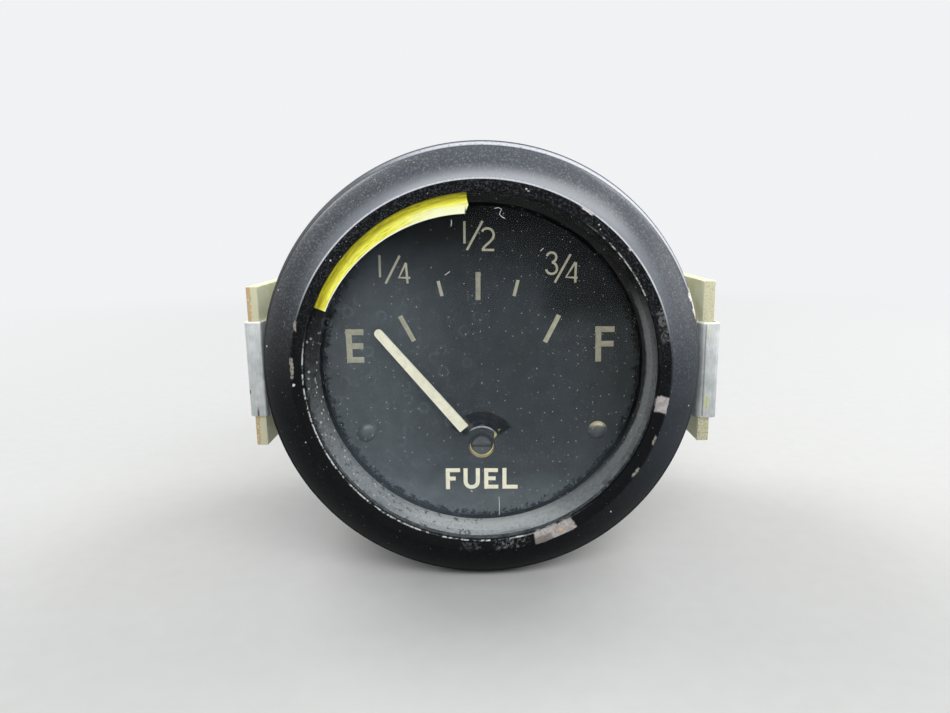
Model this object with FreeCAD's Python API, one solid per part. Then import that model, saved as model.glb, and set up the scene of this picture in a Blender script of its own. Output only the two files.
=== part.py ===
import FreeCAD, Part
import math
import os

# Panel fuel gauge: a round instrument with an electric movement and a strap that clamps it in its panel.
# X is to the right of the dial, Y runs back into the panel and Z is up.
# The origin is on the gauge's axis, in the plane of the bezel's rear face, which seats on the panel.
# Lengths are in millimetres and angles in degrees. Angles on the dial turn clockwise from +Z.

# Case: a drawn can that passes through the panel hole
case_radius = 26.1
case_depth = 36.0
case_wall = 0.7
case_back_wall = 0.9
case_corner = 2.0

# Bezel: a formed ring whose rear edge is rolled over behind the can's flange
bezel_shoulder = 4.05
bezel_flare = 0.92
bezel_wall = 0.75
bezel_roll = 0.9
roll_gap = 0.45
skirt_depth = 2.9
ridge_rise = 2.63
face_bulge = 0.28
lip_inset = 2.69
lip_drop = 0.36
lip_thickness = 0.52
rear_round = 0.25
crest_round = 0.4
crest_wall_drop = 0.45
ridge_round = 0.25

# Window: the glass, its gasket and the wall that stands round the dial
lens_overlap = 1.19
lens_gap = 0.25
lens_thickness = 1.6
lens_bevel = 0.15
gasket_thickness = 0.4
gasket_gap = 0.1
ridge_wall = 0.1
wall_step = 0.46
wall_taper = 0.78
wall_height = 2.2
wall_thickness = 0.75
wall_flange_gap = 0.8
flange_thickness = 0.8
flange_gap = 0.1

# Dial: a flat plate held by two screws, with a hole for the pivot and a curved slot for the pointer
dial_gap = 0.55
dial_thickness = 0.8
dial_screw_inset = 3.0
dial_screw_angle = 119.6
dial_screw_head = 1.35
dial_screw_dome = 0.6
dial_screw_radius = 0.8
dial_screw_length = 3.4
dial_post_radius = 1.9
pivot_drop = 11.2
pivot_hole_radius = 1.8
slot_inner = 2.6
slot_outer = 4.9
slot_half_angle = 60.0

# Pointer: a flat bar in front of the dial, cranked back through the slot to the staff
pointer_rest = -40.1
pointer_sweep = 82.0
pointer_length = 21.8
pointer_root = 3.7
pointer_root_half = 0.73
pointer_tip_half = 0.58
pointer_thickness = 0.35
pointer_height = 1.05
crank_width = 0.9
crank_thickness = 0.4
tail_thickness = 0.35

# Staff, hub and balance, which turn with the pointer behind the dial
staff_radius = 0.55
staff_tip_radius = 0.22
staff_tip_length = 0.3
staff_end_gap = 0.05
bearing_gap = 0.03
fit_gap = 0.02
hub_radius = 1.5
hub_end_gap = 0.4
hub_front_gap = 0.25
balance_half = 0.6
balance_thickness = 0.4
balance_reach = 5.6
balance_root = 0.2
weight_radius = 0.8
weight_length = 2.0
stop_radius = 3.4
stop_pin_radius = 0.5
stop_pin_proud = 1.6
stop_gap = 0.03
armature_radius = 4.6
armature_thickness = 2.0
armature_flat = 3.2
vane_radius = 5.3
vane_thickness = 0.4
vane_boss = 1.1
vane_boss_length = 1.0
vane_screw_gap = 1.6

# Movement frame: two brass plates on four pillars
frame_gap = 3.05
plate_thickness = 1.2
plate_spacing = 12.0
plate_case_gap = 2.6
plate_top = 15.0
plate_bottom = 19.5
plate_hole = 2.6
pillar_radius = 1.6
pillar_x = 12.0
pillar_z = -16.2
upper_pillar_angle = 30.0

# Front bridge with its collar and slotted pivot screw
bridge_gap = 0.1
bridge_thickness = 0.8
bridge_half = 9.2
bridge_low = 3.4
bridge_high = 0.6
bridge_boss = 2.1
bridge_post_x = 7.5
bridge_post_drop = 1.4
bridge_post_radius = 1.3
collar_radius = 1.66
collar_wall = 0.28
collar_sink = 0.3
pivot_screw_head = 1.32
pivot_screw_radius = 1.0
pivot_screw_proud = 0.12
pivot_screw_reach = 0.15
screw_slot_width = 0.36
screw_slot_depth = 0.4
cut_margin = 1.0
rear_screw_reach = 1.0
rear_screw_tail = 1.2

# Two coils at right angles on iron cores, closed by a curved yoke
coil_angle = 45.0
coil_cup_gap = 0.6
coil_plate_gap = 0.3
coil_length = 12.2
bobbin_flange = 4.1
bobbin_flange_thickness = 0.8
bobbin_tube_wall = 0.6
winding_thickness = 1.5
core_radius = 1.6
core_air_gap = 0.6
core_yoke_sink = 0.2
yoke_thickness = 1.6
yoke_width = 4.0
yoke_half_angle = 62.0
yoke_pillar_gap = 0.1

# Damping cup round the vane
cup_vane_gap = 0.5
cup_wall = 0.6
cup_depth = 4.8
cup_hole = 1.6

# Clamp studs that carry the movement on the can's back and hold the strap outside
stud_radius = 2.4
stud_x = 14.0
stud_tail = 1.2
stud_fit = 0.06
stud_bevel = 0.4
relief_gap = 0.2
relief_width = 0.5
relief_depth = 0.3
hole_gap = 0.25
spacer_wall = 1.4
lock_washer_thickness = 0.6
lock_washer_wall = 1.6
case_nut_flats = 9.5
case_nut_thickness = 2.4
nut_bevel = 0.5

# Insulated terminals
terminal_strap_gap = 0.4
terminal_wall_gap = 0.4
terminal_radius = 2.05
terminal_tail = 5.8
terminal_head = 3.2
terminal_head_thickness = 2.0
insulator_radius = 3.9
insulator_barrel = 2.9
insulator_flange = 1.2
inner_insulator = 1.4
terminal_nut_flats = 7.1
terminal_nut_thickness = 2.2
terminal_washer_wall = 1.3

# Wire-wound calibration resistor between the terminals
resistor_radius = 2.2
resistor_length = 16.0
resistor_standoff = 6.0
resistor_cap = 0.9
resistor_cap_wall = 0.2
tag_half = 0.4

# Clamp strap: a U of plated steel, with a folded clip on the edge of each leg
strap_thickness = 1.6
strap_width = 22.6
strap_side_gap = 0.35
strap_clearance = 1.4
strap_bend = 1.6
strap_hole_gap = 0.25
strap_travel = 6.0
clip_thickness = 0.5
clip_standoff = 0.15
clip_height = 13.5
clip_depth = 7.5
clip_slack = 0.1
clip_bend = 0.55
left_clip_z = -0.2
right_clip_z = -1.1
right_clip_spring = 0.45
washer_wall = 2.4
washer_thickness = 0.8
clamp_nut_radius = 5.6
clamp_nut_thickness = 6.0
clamp_nut_shoulder = 4.3
clamp_nut_shoulder_length = 1.6
clamp_nut_teeth = 28
clamp_nut_tooth = 0.35

# Radii, depths along Y and places that the pieces share
bezel_radius = case_radius + bezel_shoulder
crest_radius = bezel_radius - bezel_flare
lip_radius = case_radius - lip_inset
lens_radius = lip_radius + lens_overlap
pocket_radius = lens_radius + lens_gap
ridge_radius = pocket_radius + ridge_wall
crest_y = -skirt_depth
ridge_y = crest_y - ridge_rise
lip_y = ridge_y + lip_drop
lens_front = lip_y + lip_thickness
lens_back = lens_front + lens_thickness
gasket_back = lens_back + gasket_thickness
dial_front = lens_back + wall_height
dial_back = dial_front + dial_thickness
flange_back = -bezel_roll
flange_front = flange_back - flange_thickness
flange_radius = crest_radius - bezel_wall - flange_gap
wall_top_radius = lip_radius - wall_step
wall_base_radius = wall_top_radius - wall_taper
dial_radius = wall_base_radius - dial_gap
dial_screw_x = (dial_radius - dial_screw_inset) * math.sin(math.radians(dial_screw_angle))
dial_screw_z = (dial_radius - dial_screw_inset) * math.cos(math.radians(dial_screw_angle))
plate_radius = case_radius - case_wall - plate_case_gap
plate_front = dial_back + frame_gap
plate_back = plate_front + plate_thickness
rear_plate_front = plate_back + plate_spacing
rear_plate_back = rear_plate_front + plate_thickness
case_back_inner = case_depth - case_back_wall
bridge_front = dial_back + bridge_gap
bridge_back = bridge_front + bridge_thickness
case_nut_front = case_depth + lock_washer_thickness
case_nut_back = case_nut_front + case_nut_thickness
strap_front = clip_standoff + clip_thickness
strap_inner_half = bezel_radius + strap_side_gap
strap_half_span = strap_inner_half + strap_thickness
strap_base_front = case_nut_back + strap_clearance
strap_base_back = strap_base_front + strap_thickness
washer_back = strap_base_back + washer_thickness
stud_end = washer_back + clamp_nut_thickness + strap_travel + stud_tail
terminal_z = -(strap_width / 2 + terminal_strap_gap + insulator_radius)
terminal_circle = case_radius - case_corner - terminal_wall_gap - insulator_radius
terminal_x = math.sqrt(terminal_circle ** 2 - terminal_z ** 2)
terminal_nut_front = case_depth + insulator_flange
terminal_washer_front = terminal_nut_front + terminal_nut_thickness
terminal_top_front = terminal_washer_front + lock_washer_thickness
terminal_end = terminal_top_front + terminal_nut_thickness + terminal_tail
terminal_head_back = case_back_inner - inner_insulator
terminal_head_front = terminal_head_back - terminal_head_thickness
resistor_y = terminal_head_front - resistor_standoff
pivot_z = -pivot_drop
cup_radius = vane_radius + cup_vane_gap + cup_wall
coil_start = cup_radius + coil_cup_gap
coil_y = plate_back + bobbin_flange + coil_plate_gap
core_start = armature_radius + core_air_gap
coil_end = coil_start + coil_length
yoke_inner = coil_end + yoke_thickness / 2
screw_tip = bridge_back + pivot_screw_reach
tail_front = bridge_back + hub_front_gap
tail_back = tail_front + tail_thickness
hub_length = plate_front - hub_end_gap - tail_back
balance_y = tail_back + hub_length / 2
rear_screw_front = rear_plate_front - cup_wall - rear_screw_reach

os.makedirs("parts", exist_ok=True)
BACK = FreeCAD.Vector(0, 1, 0)


def save(name, *solids):
    shape = solids[0] if len(solids) == 1 else Part.makeCompound(list(solids))
    shape.exportStep("parts/" + name + ".step")


def rod(radius, start, end, x=0.0, z=0.0):
    """A cylinder along Y between two depths."""
    return Part.makeCylinder(radius, end - start, FreeCAD.Vector(x, start, z), BACK)


def tube(outer, inner, start, end, x=0.0, z=0.0):
    return rod(outer, start, end, x, z).cut(rod(inner, start, end, x, z))


def block(x_range, y_range, z_range):
    size = [high - low for low, high in (x_range, y_range, z_range)]
    return Part.makeBox(*size, FreeCAD.Vector(x_range[0], y_range[0], z_range[0]))


def turned(points, x=0.0, z=0.0):
    """A solid of revolution about Y from a closed outline of (radius, depth) points."""
    corners = [FreeCAD.Vector(x + radius, depth, z) for radius, depth in points]
    face = Part.Face(Part.makePolygon(corners + corners[:1]))
    return face.revolve(FreeCAD.Vector(x, 0, z), BACK, 360)


def on_dial(radius, angle, depth):
    """A point at a radius from the pivot, at an angle clockwise from +Z."""
    turn = math.radians(angle)
    return FreeCAD.Vector(radius * math.sin(turn), depth, pivot_z + radius * math.cos(turn))


def turn_about_pivot(shape, angle):
    turned_shape = shape.copy()
    turned_shape.rotate(FreeCAD.Vector(0, 0, pivot_z), BACK, angle)
    return turned_shape


def sector(inner, outer, start_angle, end_angle, front, back):
    """A curved bar about the pivot between two radii and two angles."""
    middle = (start_angle + end_angle) / 2
    outer_arc = Part.Arc(
        on_dial(outer, start_angle, front), on_dial(outer, middle, front), on_dial(outer, end_angle, front)
    ).toShape()
    inner_arc = Part.Arc(
        on_dial(inner, end_angle, front), on_dial(inner, middle, front), on_dial(inner, start_angle, front)
    ).toShape()
    start_side = Part.makeLine(on_dial(inner, start_angle, front), on_dial(outer, start_angle, front))
    end_side = Part.makeLine(on_dial(outer, end_angle, front), on_dial(inner, end_angle, front))
    face = Part.Face(Part.Wire([outer_arc, end_side, inner_arc, start_side]))
    return face.extrude(BACK * (back - front))


def circle_edges(shape, radius, depth):
    """The edges of a turned shape that run round its axis at a radius and depth."""
    found = []
    for edge in shape.Edges:
        curve = edge.Curve
        if isinstance(curve, Part.Circle):
            if abs(curve.Radius - radius) < 0.01 and abs(curve.Center.y - depth) < 0.01:
                found.append(edge)
    return found


def screw_slot(head_radius, front, x, z):
    """The cutter for a driver slot that runs across a screw head."""
    reach = head_radius + cut_margin
    return block(
        (x - reach, x + reach),
        (front - cut_margin, front + screw_slot_depth),
        (z - screw_slot_width / 2, z + screw_slot_width / 2),
    )


def bevelled_disc(radius, front, back, bevel, x, z):
    outline = [
        (0, front),
        (radius - bevel, front),
        (radius, front + bevel),
        (radius, back - bevel),
        (radius - bevel, back),
        (0, back),
    ]
    return turned(outline, x, z)


def hex_nut(flats, front, thickness, bore, x, z):
    corner = flats / 2 / math.cos(math.radians(30))
    points = []
    for step in range(7):
        turn = math.radians(60 * step)
        points.append(FreeCAD.Vector(x + corner * math.cos(turn), front, z + corner * math.sin(turn)))
    prism = Part.Face(Part.makePolygon(points)).extrude(BACK * thickness)
    body = prism.common(bevelled_disc(corner, front, front + thickness, nut_bevel, x, z))
    return body.cut(rod(bore, front, front + thickness, x, z))


def grooved_stud(radius, start, nut_back, end, x, z):
    """A threaded rod with a relief groove behind its nut and a bevelled free end."""
    groove_front = nut_back + relief_gap
    groove_back = groove_front + relief_width
    outline = [
        (0, start),
        (radius, start),
        (radius, groove_front),
        (radius - relief_depth, groove_front),
        (radius - relief_depth, groove_back),
        (radius, groove_back),
        (radius, end - stud_bevel),
        (radius - stud_bevel, end),
        (0, end),
    ]
    return turned(outline, x, z)


def bezel():
    """The formed ring. Its face bulges between the crest of the skirt and the ridge round the window."""
    chord_r = crest_radius - ridge_radius
    chord_y = crest_y - ridge_y
    chord = math.hypot(chord_r, chord_y)
    bulge_point = FreeCAD.Vector(
        (crest_radius + ridge_radius) / 2 + face_bulge * chord_y / chord,
        (crest_y + ridge_y) / 2 - face_bulge * chord_r / chord,
        0,
    )
    skirt_inner = crest_radius - bezel_wall
    crest_inner_y = crest_y + crest_wall_drop
    rear_inner = bezel_radius - bezel_wall
    roll_inner = case_radius + roll_gap
    outline = [
        (ridge_radius, ridge_y),
        (lip_radius, lip_y),
        (lip_radius, lens_front),
        (pocket_radius, lens_front),
        (skirt_inner, crest_inner_y),
        (rear_inner, flange_back),
        (roll_inner, flange_back),
        (roll_inner, 0),
        (bezel_radius, 0),
        (crest_radius, crest_y),
    ]
    corners = [FreeCAD.Vector(radius, depth, 0) for radius, depth in outline]
    face_arc = Part.Arc(corners[-1], bulge_point, corners[0]).toShape()
    wire = Part.Wire(Part.makePolygon(corners).Edges + [face_arc])
    ring = Part.Face(wire).revolve(FreeCAD.Vector(0, 0, 0), BACK, 360)
    rounds = [
        (bezel_radius, 0, rear_round),
        (crest_radius, crest_y, crest_round),
        (ridge_radius, ridge_y, ridge_round),
    ]
    for radius, depth, size in rounds:
        ring = ring.makeFillet(size, circle_edges(ring, radius, depth))
    return ring


def lens():
    return bevelled_disc(lens_radius, lens_front, lens_back, lens_bevel, 0, 0)


def lens_gasket():
    inner = wall_top_radius + wall_thickness + gasket_gap
    return tube(lens_radius, inner, lens_back, gasket_back)


def dial_surround():
    """The tapered wall from the glass down to the dial, with a flange between the bezel and the can."""
    outline = [
        (wall_top_radius, lens_back),
        (wall_top_radius + wall_thickness, lens_back),
        (wall_top_radius + wall_thickness, gasket_back),
        (flange_radius - wall_flange_gap, gasket_back),
        (flange_radius - wall_flange_gap, flange_front),
        (wall_base_radius + wall_thickness, flange_front),
        (wall_base_radius + wall_thickness, dial_front),
        (wall_base_radius, dial_front),
    ]
    return turned(outline)


def case_flange():
    """The ring soldered round the can's mouth, which the bezel is rolled over."""
    return tube(flange_radius, case_radius, flange_front, flange_back)


def case_can():
    inner = case_radius - case_wall
    outline = [
        (inner, flange_front),
        (case_radius, flange_front),
        (case_radius, case_depth),
        (0, case_depth),
        (0, case_back_inner),
        (inner, case_back_inner),
    ]
    can = turned(outline)
    can = can.makeFillet(case_corner, circle_edges(can, case_radius, case_depth))
    can = can.makeFillet(case_corner - case_wall, circle_edges(can, inner, case_back_inner))
    for side in (-1, 1):
        can = can.cut(rod(stud_radius + hole_gap, case_back_inner, case_depth, side * stud_x, 0))
        can = can.cut(
            rod(insulator_barrel + hole_gap, case_back_inner, case_depth, side * terminal_x, terminal_z)
        )
    return can


def dial_plate():
    plate = rod(dial_radius, dial_front, dial_back)
    plate = plate.cut(rod(pivot_hole_radius, dial_front, dial_back, 0, pivot_z))
    slot = sector(slot_inner, slot_outer, -slot_half_angle, slot_half_angle, dial_front, dial_back)
    plate = plate.cut(slot)
    for side in (-1, 1):
        hole = rod(dial_screw_radius + hole_gap, dial_front, dial_back, side * dial_screw_x, dial_screw_z)
        plate = plate.cut(hole)
    return plate


def dial_screw(x, z):
    """A round-headed screw: the head is a low dome on the dial."""
    ball = (dial_screw_head ** 2 + dial_screw_dome ** 2) / (2 * dial_screw_dome)
    dome = Part.makeSphere(ball, FreeCAD.Vector(x, dial_front - dial_screw_dome + ball, z))
    head = dome.common(rod(dial_screw_head, dial_front - dial_screw_dome, dial_front, x, z))
    shank = rod(dial_screw_radius, dial_front, dial_front + dial_screw_length, x, z)
    return head.fuse(shank).removeSplitter()


def dial_post(x, z):
    post = rod(dial_post_radius, dial_back, plate_front, x, z)
    return post.cut(rod(dial_screw_radius + fit_gap, dial_back, plate_front, x, z))


def pillar_places():
    upper_radius = yoke_inner + yoke_thickness + yoke_pillar_gap + pillar_radius
    places = [(-pillar_x, pillar_z), (pillar_x, pillar_z)]
    for side in (-1, 1):
        point = on_dial(upper_radius, side * upper_pillar_angle, 0)
        places.append((point.x, point.z))
    return places


def movement_plate(front, centre_hole):
    disc = rod(plate_radius, front, front + plate_thickness)
    window = block(
        (-plate_radius, plate_radius), (front, front + plate_thickness), (-plate_bottom, plate_top)
    )
    plate = disc.common(window)
    return plate.cut(rod(centre_hole, front, front + plate_thickness, 0, pivot_z))


def rear_plate():
    plate = movement_plate(rear_plate_front, pivot_screw_radius + fit_gap)
    for side in (-1, 1):
        plate = plate.cut(rod(stud_radius + fit_gap, rear_plate_front, rear_plate_back, side * stud_x, 0))
    return plate


def front_bridge():
    """The strip behind the dial that carries the front pivot screw in a collar."""
    strip = block(
        (-bridge_half, bridge_half),
        (bridge_front, bridge_back),
        (pivot_z - bridge_low, pivot_z + bridge_high),
    )
    boss = rod(bridge_boss, bridge_front, bridge_back, 0, pivot_z)
    collar = rod(collar_radius, dial_front + collar_sink, bridge_back, 0, pivot_z)
    bridge = strip.fuse(boss).fuse(collar).removeSplitter()
    bridge = bridge.cut(
        rod(collar_radius - collar_wall, dial_front + collar_sink, bridge_front, 0, pivot_z)
    )
    return bridge.cut(rod(pivot_screw_radius + fit_gap, bridge_front, bridge_back, 0, pivot_z))


def bridge_post(side):
    x = side * bridge_post_x
    return rod(bridge_post_radius, bridge_back, plate_front, x, pivot_z - bridge_post_drop)


def front_pivot_screw():
    """The slotted screw whose end is cupped for the staff."""
    head_front = dial_front - pivot_screw_proud
    screw = rod(pivot_screw_head, head_front, bridge_front, 0, pivot_z)
    screw = screw.fuse(rod(pivot_screw_radius, bridge_front, screw_tip, 0, pivot_z)).removeSplitter()
    screw = screw.cut(screw_slot(pivot_screw_head, head_front, 0, pivot_z))
    cup = rod(staff_tip_radius + bearing_gap, screw_tip - staff_tip_length, screw_tip, 0, pivot_z)
    return screw.cut(cup)


def rear_pivot_screw():
    tail = rear_plate_back + rear_screw_tail
    screw = rod(pivot_screw_radius, rear_screw_front, tail, 0, pivot_z)
    cup = rod(
        staff_tip_radius + bearing_gap, rear_screw_front, rear_screw_front + staff_tip_length, 0, pivot_z
    )
    slot = block(
        (-pivot_screw_radius, pivot_screw_radius),
        (tail - screw_slot_depth, tail),
        (pivot_z - screw_slot_width / 2, pivot_z + screw_slot_width / 2),
    )
    return screw.cut(cup).cut(slot)


def pointer():
    """The bar, its crank through the dial's slot and the tail that is pinned on the staff, made upright."""
    bar_back = dial_front - pointer_height
    bar_front = bar_back - pointer_thickness
    round_start = pointer_length - pointer_tip_half
    corners = [
        (-pointer_tip_half, round_start),
        (-pointer_root_half, pointer_root),
        (pointer_root_half, pointer_root),
        (pointer_tip_half, round_start),
    ]
    points = [FreeCAD.Vector(x, bar_front, pivot_z + z) for x, z in corners]
    tip = FreeCAD.Vector(0, bar_front, pivot_z + pointer_length)
    tip_arc = Part.Arc(points[-1], tip, points[0]).toShape()
    wire = Part.Wire(Part.makePolygon(points).Edges + [tip_arc])
    bar = Part.Face(wire).extrude(BACK * pointer_thickness)
    half = crank_width / 2
    crank_end = pivot_z + pointer_root + crank_thickness
    crank = block((-half, half), (bar_front, tail_back), (pivot_z + pointer_root, crank_end))
    tail = block((-half, half), (tail_front, tail_back), (pivot_z, crank_end))
    eye = rod(hub_radius, tail_front, tail_back, 0, pivot_z)
    body = bar.fuse(crank).fuse(tail).fuse(eye).removeSplitter()
    return body.cut(rod(staff_radius + fit_gap, tail_front, tail_back, 0, pivot_z))


def pointer_staff():
    """The shaft between the two pivot screws, with a fine pivot at each end."""
    front_tip = screw_tip - staff_tip_length + staff_end_gap
    front_shoulder = screw_tip + staff_end_gap
    rear_shoulder = rear_screw_front - staff_end_gap
    rear_tip = rear_screw_front + staff_tip_length - staff_end_gap
    shaft = rod(staff_radius, front_shoulder, rear_shoulder, 0, pivot_z)
    return shaft.fuse(rod(staff_tip_radius, front_tip, rear_tip, 0, pivot_z)).removeSplitter()


def pointer_hub():
    return tube(hub_radius, staff_radius + fit_gap, tail_back, tail_back + hub_length, 0, pivot_z)


def balance_arm():
    """The arm opposite the pointer, on which the balance weight slides."""
    front = balance_y - balance_thickness / 2
    back = front + balance_thickness
    low = pivot_z - balance_reach
    arm = block((-balance_half, balance_half), (front, back), (low, pivot_z - hub_radius + balance_root))
    return arm.cut(rod(hub_radius, front, back, 0, pivot_z))


def balance_weight():
    start = FreeCAD.Vector(0, balance_y, pivot_z - balance_reach - weight_length / 2)
    weight = Part.makeCylinder(weight_radius, weight_length, start, FreeCAD.Vector(0, 0, 1))
    return weight.cut(balance_arm())


def stop_pin(side):
    """A pin in the front plate that the balance arm meets at one end of the pointer's sweep."""
    lean = math.degrees(math.asin((balance_half + stop_pin_radius + stop_gap) / stop_radius))
    if side < 0:
        angle = 180 + pointer_rest - lean
    else:
        angle = 180 + pointer_rest + pointer_sweep + lean
    place = on_dial(stop_radius, angle, 0)
    return rod(stop_pin_radius, plate_front - stop_pin_proud, plate_front, place.x, place.z)


def armature():
    front = coil_y - armature_thickness / 2
    back = front + armature_thickness
    disc = rod(armature_radius, front, back, 0, pivot_z)
    height = (pivot_z - armature_radius, pivot_z + armature_radius)
    bar = block((-armature_flat, armature_flat), (front, back), height)
    return disc.common(bar).cut(rod(staff_radius + fit_gap, front, back, 0, pivot_z))


def damping_vane():
    back = rear_screw_front - vane_screw_gap
    front = back - vane_thickness
    disc = rod(vane_radius, front, back, 0, pivot_z)
    boss = rod(vane_boss, front - vane_boss_length, back, 0, pivot_z)
    bore = rod(staff_radius + fit_gap, front - vane_boss_length, back, 0, pivot_z)
    return disc.fuse(boss).removeSplitter().cut(bore)


def damping_cup():
    front = rear_plate_front - cup_depth
    cup = rod(cup_radius, front, rear_plate_front, 0, pivot_z)
    cup = cup.cut(rod(cup_radius - cup_wall, front, rear_plate_front - cup_wall, 0, pivot_z))
    return cup.cut(rod(cup_hole, front, rear_plate_front, 0, pivot_z))


def coil_piece(radius, start, end, angle):
    """A cylinder that lies across the movement, pointing away from the pivot."""
    upright = Part.makeCylinder(
        radius, end - start, FreeCAD.Vector(0, coil_y, pivot_z + start), FreeCAD.Vector(0, 0, 1)
    )
    return turn_about_pivot(upright, angle)


def coil_bobbin(angle):
    tube_radius = core_radius + fit_gap + bobbin_tube_wall
    body = coil_piece(tube_radius, coil_start, coil_end, angle)
    body = body.fuse(coil_piece(bobbin_flange, coil_start, coil_start + bobbin_flange_thickness, angle))
    body = body.fuse(coil_piece(bobbin_flange, coil_end - bobbin_flange_thickness, coil_end, angle))
    return body.removeSplitter().cut(coil_piece(core_radius + fit_gap, coil_start, coil_end, angle))


def coil_winding(angle):
    start = coil_start + bobbin_flange_thickness
    end = coil_end - bobbin_flange_thickness
    inner = core_radius + fit_gap + bobbin_tube_wall
    return coil_piece(inner + winding_thickness, start, end, angle).cut(
        coil_piece(inner, start, end, angle)
    )


def pole_core(angle):
    return coil_piece(core_radius, core_start, yoke_inner + core_yoke_sink, angle).cut(coil_yoke())


def coil_yoke():
    front = coil_y - yoke_width / 2
    outer = yoke_inner + yoke_thickness
    return sector(yoke_inner, outer, -yoke_half_angle, yoke_half_angle, front, front + yoke_width)


def clamp_stud(side):
    nut_back = washer_back + clamp_nut_thickness
    return grooved_stud(stud_radius, rear_plate_front, nut_back, stud_end, side * stud_x, 0)


def stud_spacer(side):
    bore = stud_radius + fit_gap
    return tube(bore + spacer_wall, bore, rear_plate_back, case_back_inner, side * stud_x, 0)


def case_lock_washer(side):
    bore = stud_radius + stud_fit
    return tube(bore + lock_washer_wall, bore, case_depth, case_nut_front, side * stud_x, 0)


def case_nut(side):
    bore = stud_radius + stud_fit
    return hex_nut(case_nut_flats, case_nut_front, case_nut_thickness, bore, side * stud_x, 0)


def terminal_stud(side):
    x = side * terminal_x
    head = bevelled_disc(terminal_head, terminal_head_front, terminal_head_back, stud_bevel, x, terminal_z)
    nut_back = terminal_top_front + terminal_nut_thickness
    stud = grooved_stud(terminal_radius, terminal_head_back, nut_back, terminal_end, x, terminal_z)
    return head.fuse(stud).removeSplitter()


def terminal_inner_insulator(side):
    bore = terminal_radius + stud_fit
    return tube(insulator_radius, bore, terminal_head_back, case_back_inner, side * terminal_x, terminal_z)


def terminal_outer_insulator(side):
    """The shouldered bush: its barrel fills the can's hole and its flange lies outside."""
    x = side * terminal_x
    barrel = rod(insulator_barrel, case_back_inner, case_depth, x, terminal_z)
    flange = rod(insulator_radius, case_depth, terminal_nut_front, x, terminal_z)
    bore = rod(terminal_radius + stud_fit, case_back_inner, terminal_nut_front, x, terminal_z)
    return barrel.fuse(flange).removeSplitter().cut(bore)


def terminal_nut(side, front):
    bore = terminal_radius + stud_fit
    return hex_nut(terminal_nut_flats, front, terminal_nut_thickness, bore, side * terminal_x, terminal_z)


def terminal_washer(side):
    bore = terminal_radius + stud_fit
    outer = bore + terminal_washer_wall
    return tube(outer, bore, terminal_washer_front, terminal_top_front, side * terminal_x, terminal_z)


def calibration_resistor():
    """A ceramic rod with a metal cap on each end, lying across the can behind the movement."""
    half = resistor_length / 2
    start = FreeCAD.Vector(-half, resistor_y, terminal_z)
    body = Part.makeCylinder(resistor_radius, resistor_length, start, FreeCAD.Vector(1, 0, 0))
    for side in (-1, 1):
        end = FreeCAD.Vector(side * half, resistor_y, terminal_z)
        inward = FreeCAD.Vector(-side, 0, 0)
        body = body.fuse(Part.makeCylinder(resistor_radius + resistor_cap_wall, resistor_cap, end, inward))
    return body.removeSplitter()


def resistor_lead(side):
    """The tag that slopes from a cap to the head of the terminal beside it."""
    cap_x = side * (resistor_length / 2 - resistor_cap / 2)
    head_x = side * terminal_x
    tag_front = resistor_y + resistor_radius
    corners = [
        (cap_x - tag_half, tag_front),
        (cap_x + tag_half, tag_front),
        (head_x + tag_half, terminal_head_front),
        (head_x - tag_half, terminal_head_front),
    ]
    points = [FreeCAD.Vector(x, y, terminal_z - tag_half) for x, y in corners]
    face = Part.Face(Part.makePolygon(points + points[:1]))
    tag = face.extrude(FreeCAD.Vector(0, 0, 2 * tag_half))
    return tag.cut(calibration_resistor())


def bend_edges(shape, half_span, depth):
    """The two edges along Z where the legs meet the base."""
    found = []
    for edge in shape.Edges:
        middle = edge.CenterOfMass
        if abs(middle.z) < 0.01 and abs(abs(middle.x) - half_span) < 0.01 and abs(middle.y - depth) < 0.01:
            found.append(edge)
    return found


def mounting_strap():
    """The U that spans the can: two legs reach forward to the panel from a base behind the can."""
    half_width = strap_width / 2
    outer = block(
        (-strap_half_span, strap_half_span), (strap_front, strap_base_back), (-half_width, half_width)
    )
    inner = block(
        (-strap_inner_half, strap_inner_half), (strap_front, strap_base_front), (-half_width, half_width)
    )
    strap = outer.cut(inner)
    strap = strap.makeFillet(strap_bend, bend_edges(strap, strap_inner_half, strap_base_front))
    outer_bend = strap_bend + strap_thickness
    strap = strap.makeFillet(outer_bend, bend_edges(strap, strap_half_span, strap_base_back))
    for side in (-1, 1):
        hole = rod(stud_radius + strap_hole_gap, strap_base_front, strap_base_back, side * stud_x, 0)
        strap = strap.cut(hole)
    return strap


def edge_clip(side, centre_z, outer_slack):
    """A channel of thin sheet that is pushed over the front edge of one leg."""
    inside_low = strap_inner_half - clip_slack
    inside_high = strap_half_span + outer_slack
    low_z = centre_z - clip_height / 2
    high_z = centre_z + clip_height / 2
    leaf_back = strap_front + clip_depth
    outer_low = inside_low - clip_thickness
    outer_high = inside_high + clip_thickness
    shell = block((outer_low, outer_high), (clip_standoff, leaf_back), (low_z, high_z))
    front_edges = []
    for edge in shell.Edges:
        middle = edge.CenterOfMass
        if abs(middle.z - centre_z) < 0.01 and abs(middle.y - clip_standoff) < 0.01:
            front_edges.append(edge)
    shell = shell.makeFillet(clip_bend, front_edges)
    channel = block((inside_low, inside_high), (strap_front, leaf_back), (low_z, high_z))
    clip = shell.cut(channel)
    if side < 0:
        clip = clip.mirror(FreeCAD.Vector(0, 0, 0), FreeCAD.Vector(1, 0, 0))
    return clip


def strap_washer(side):
    bore = stud_radius + strap_hole_gap
    return tube(bore + washer_wall, bore, strap_base_back, washer_back, side * stud_x, 0)


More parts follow.
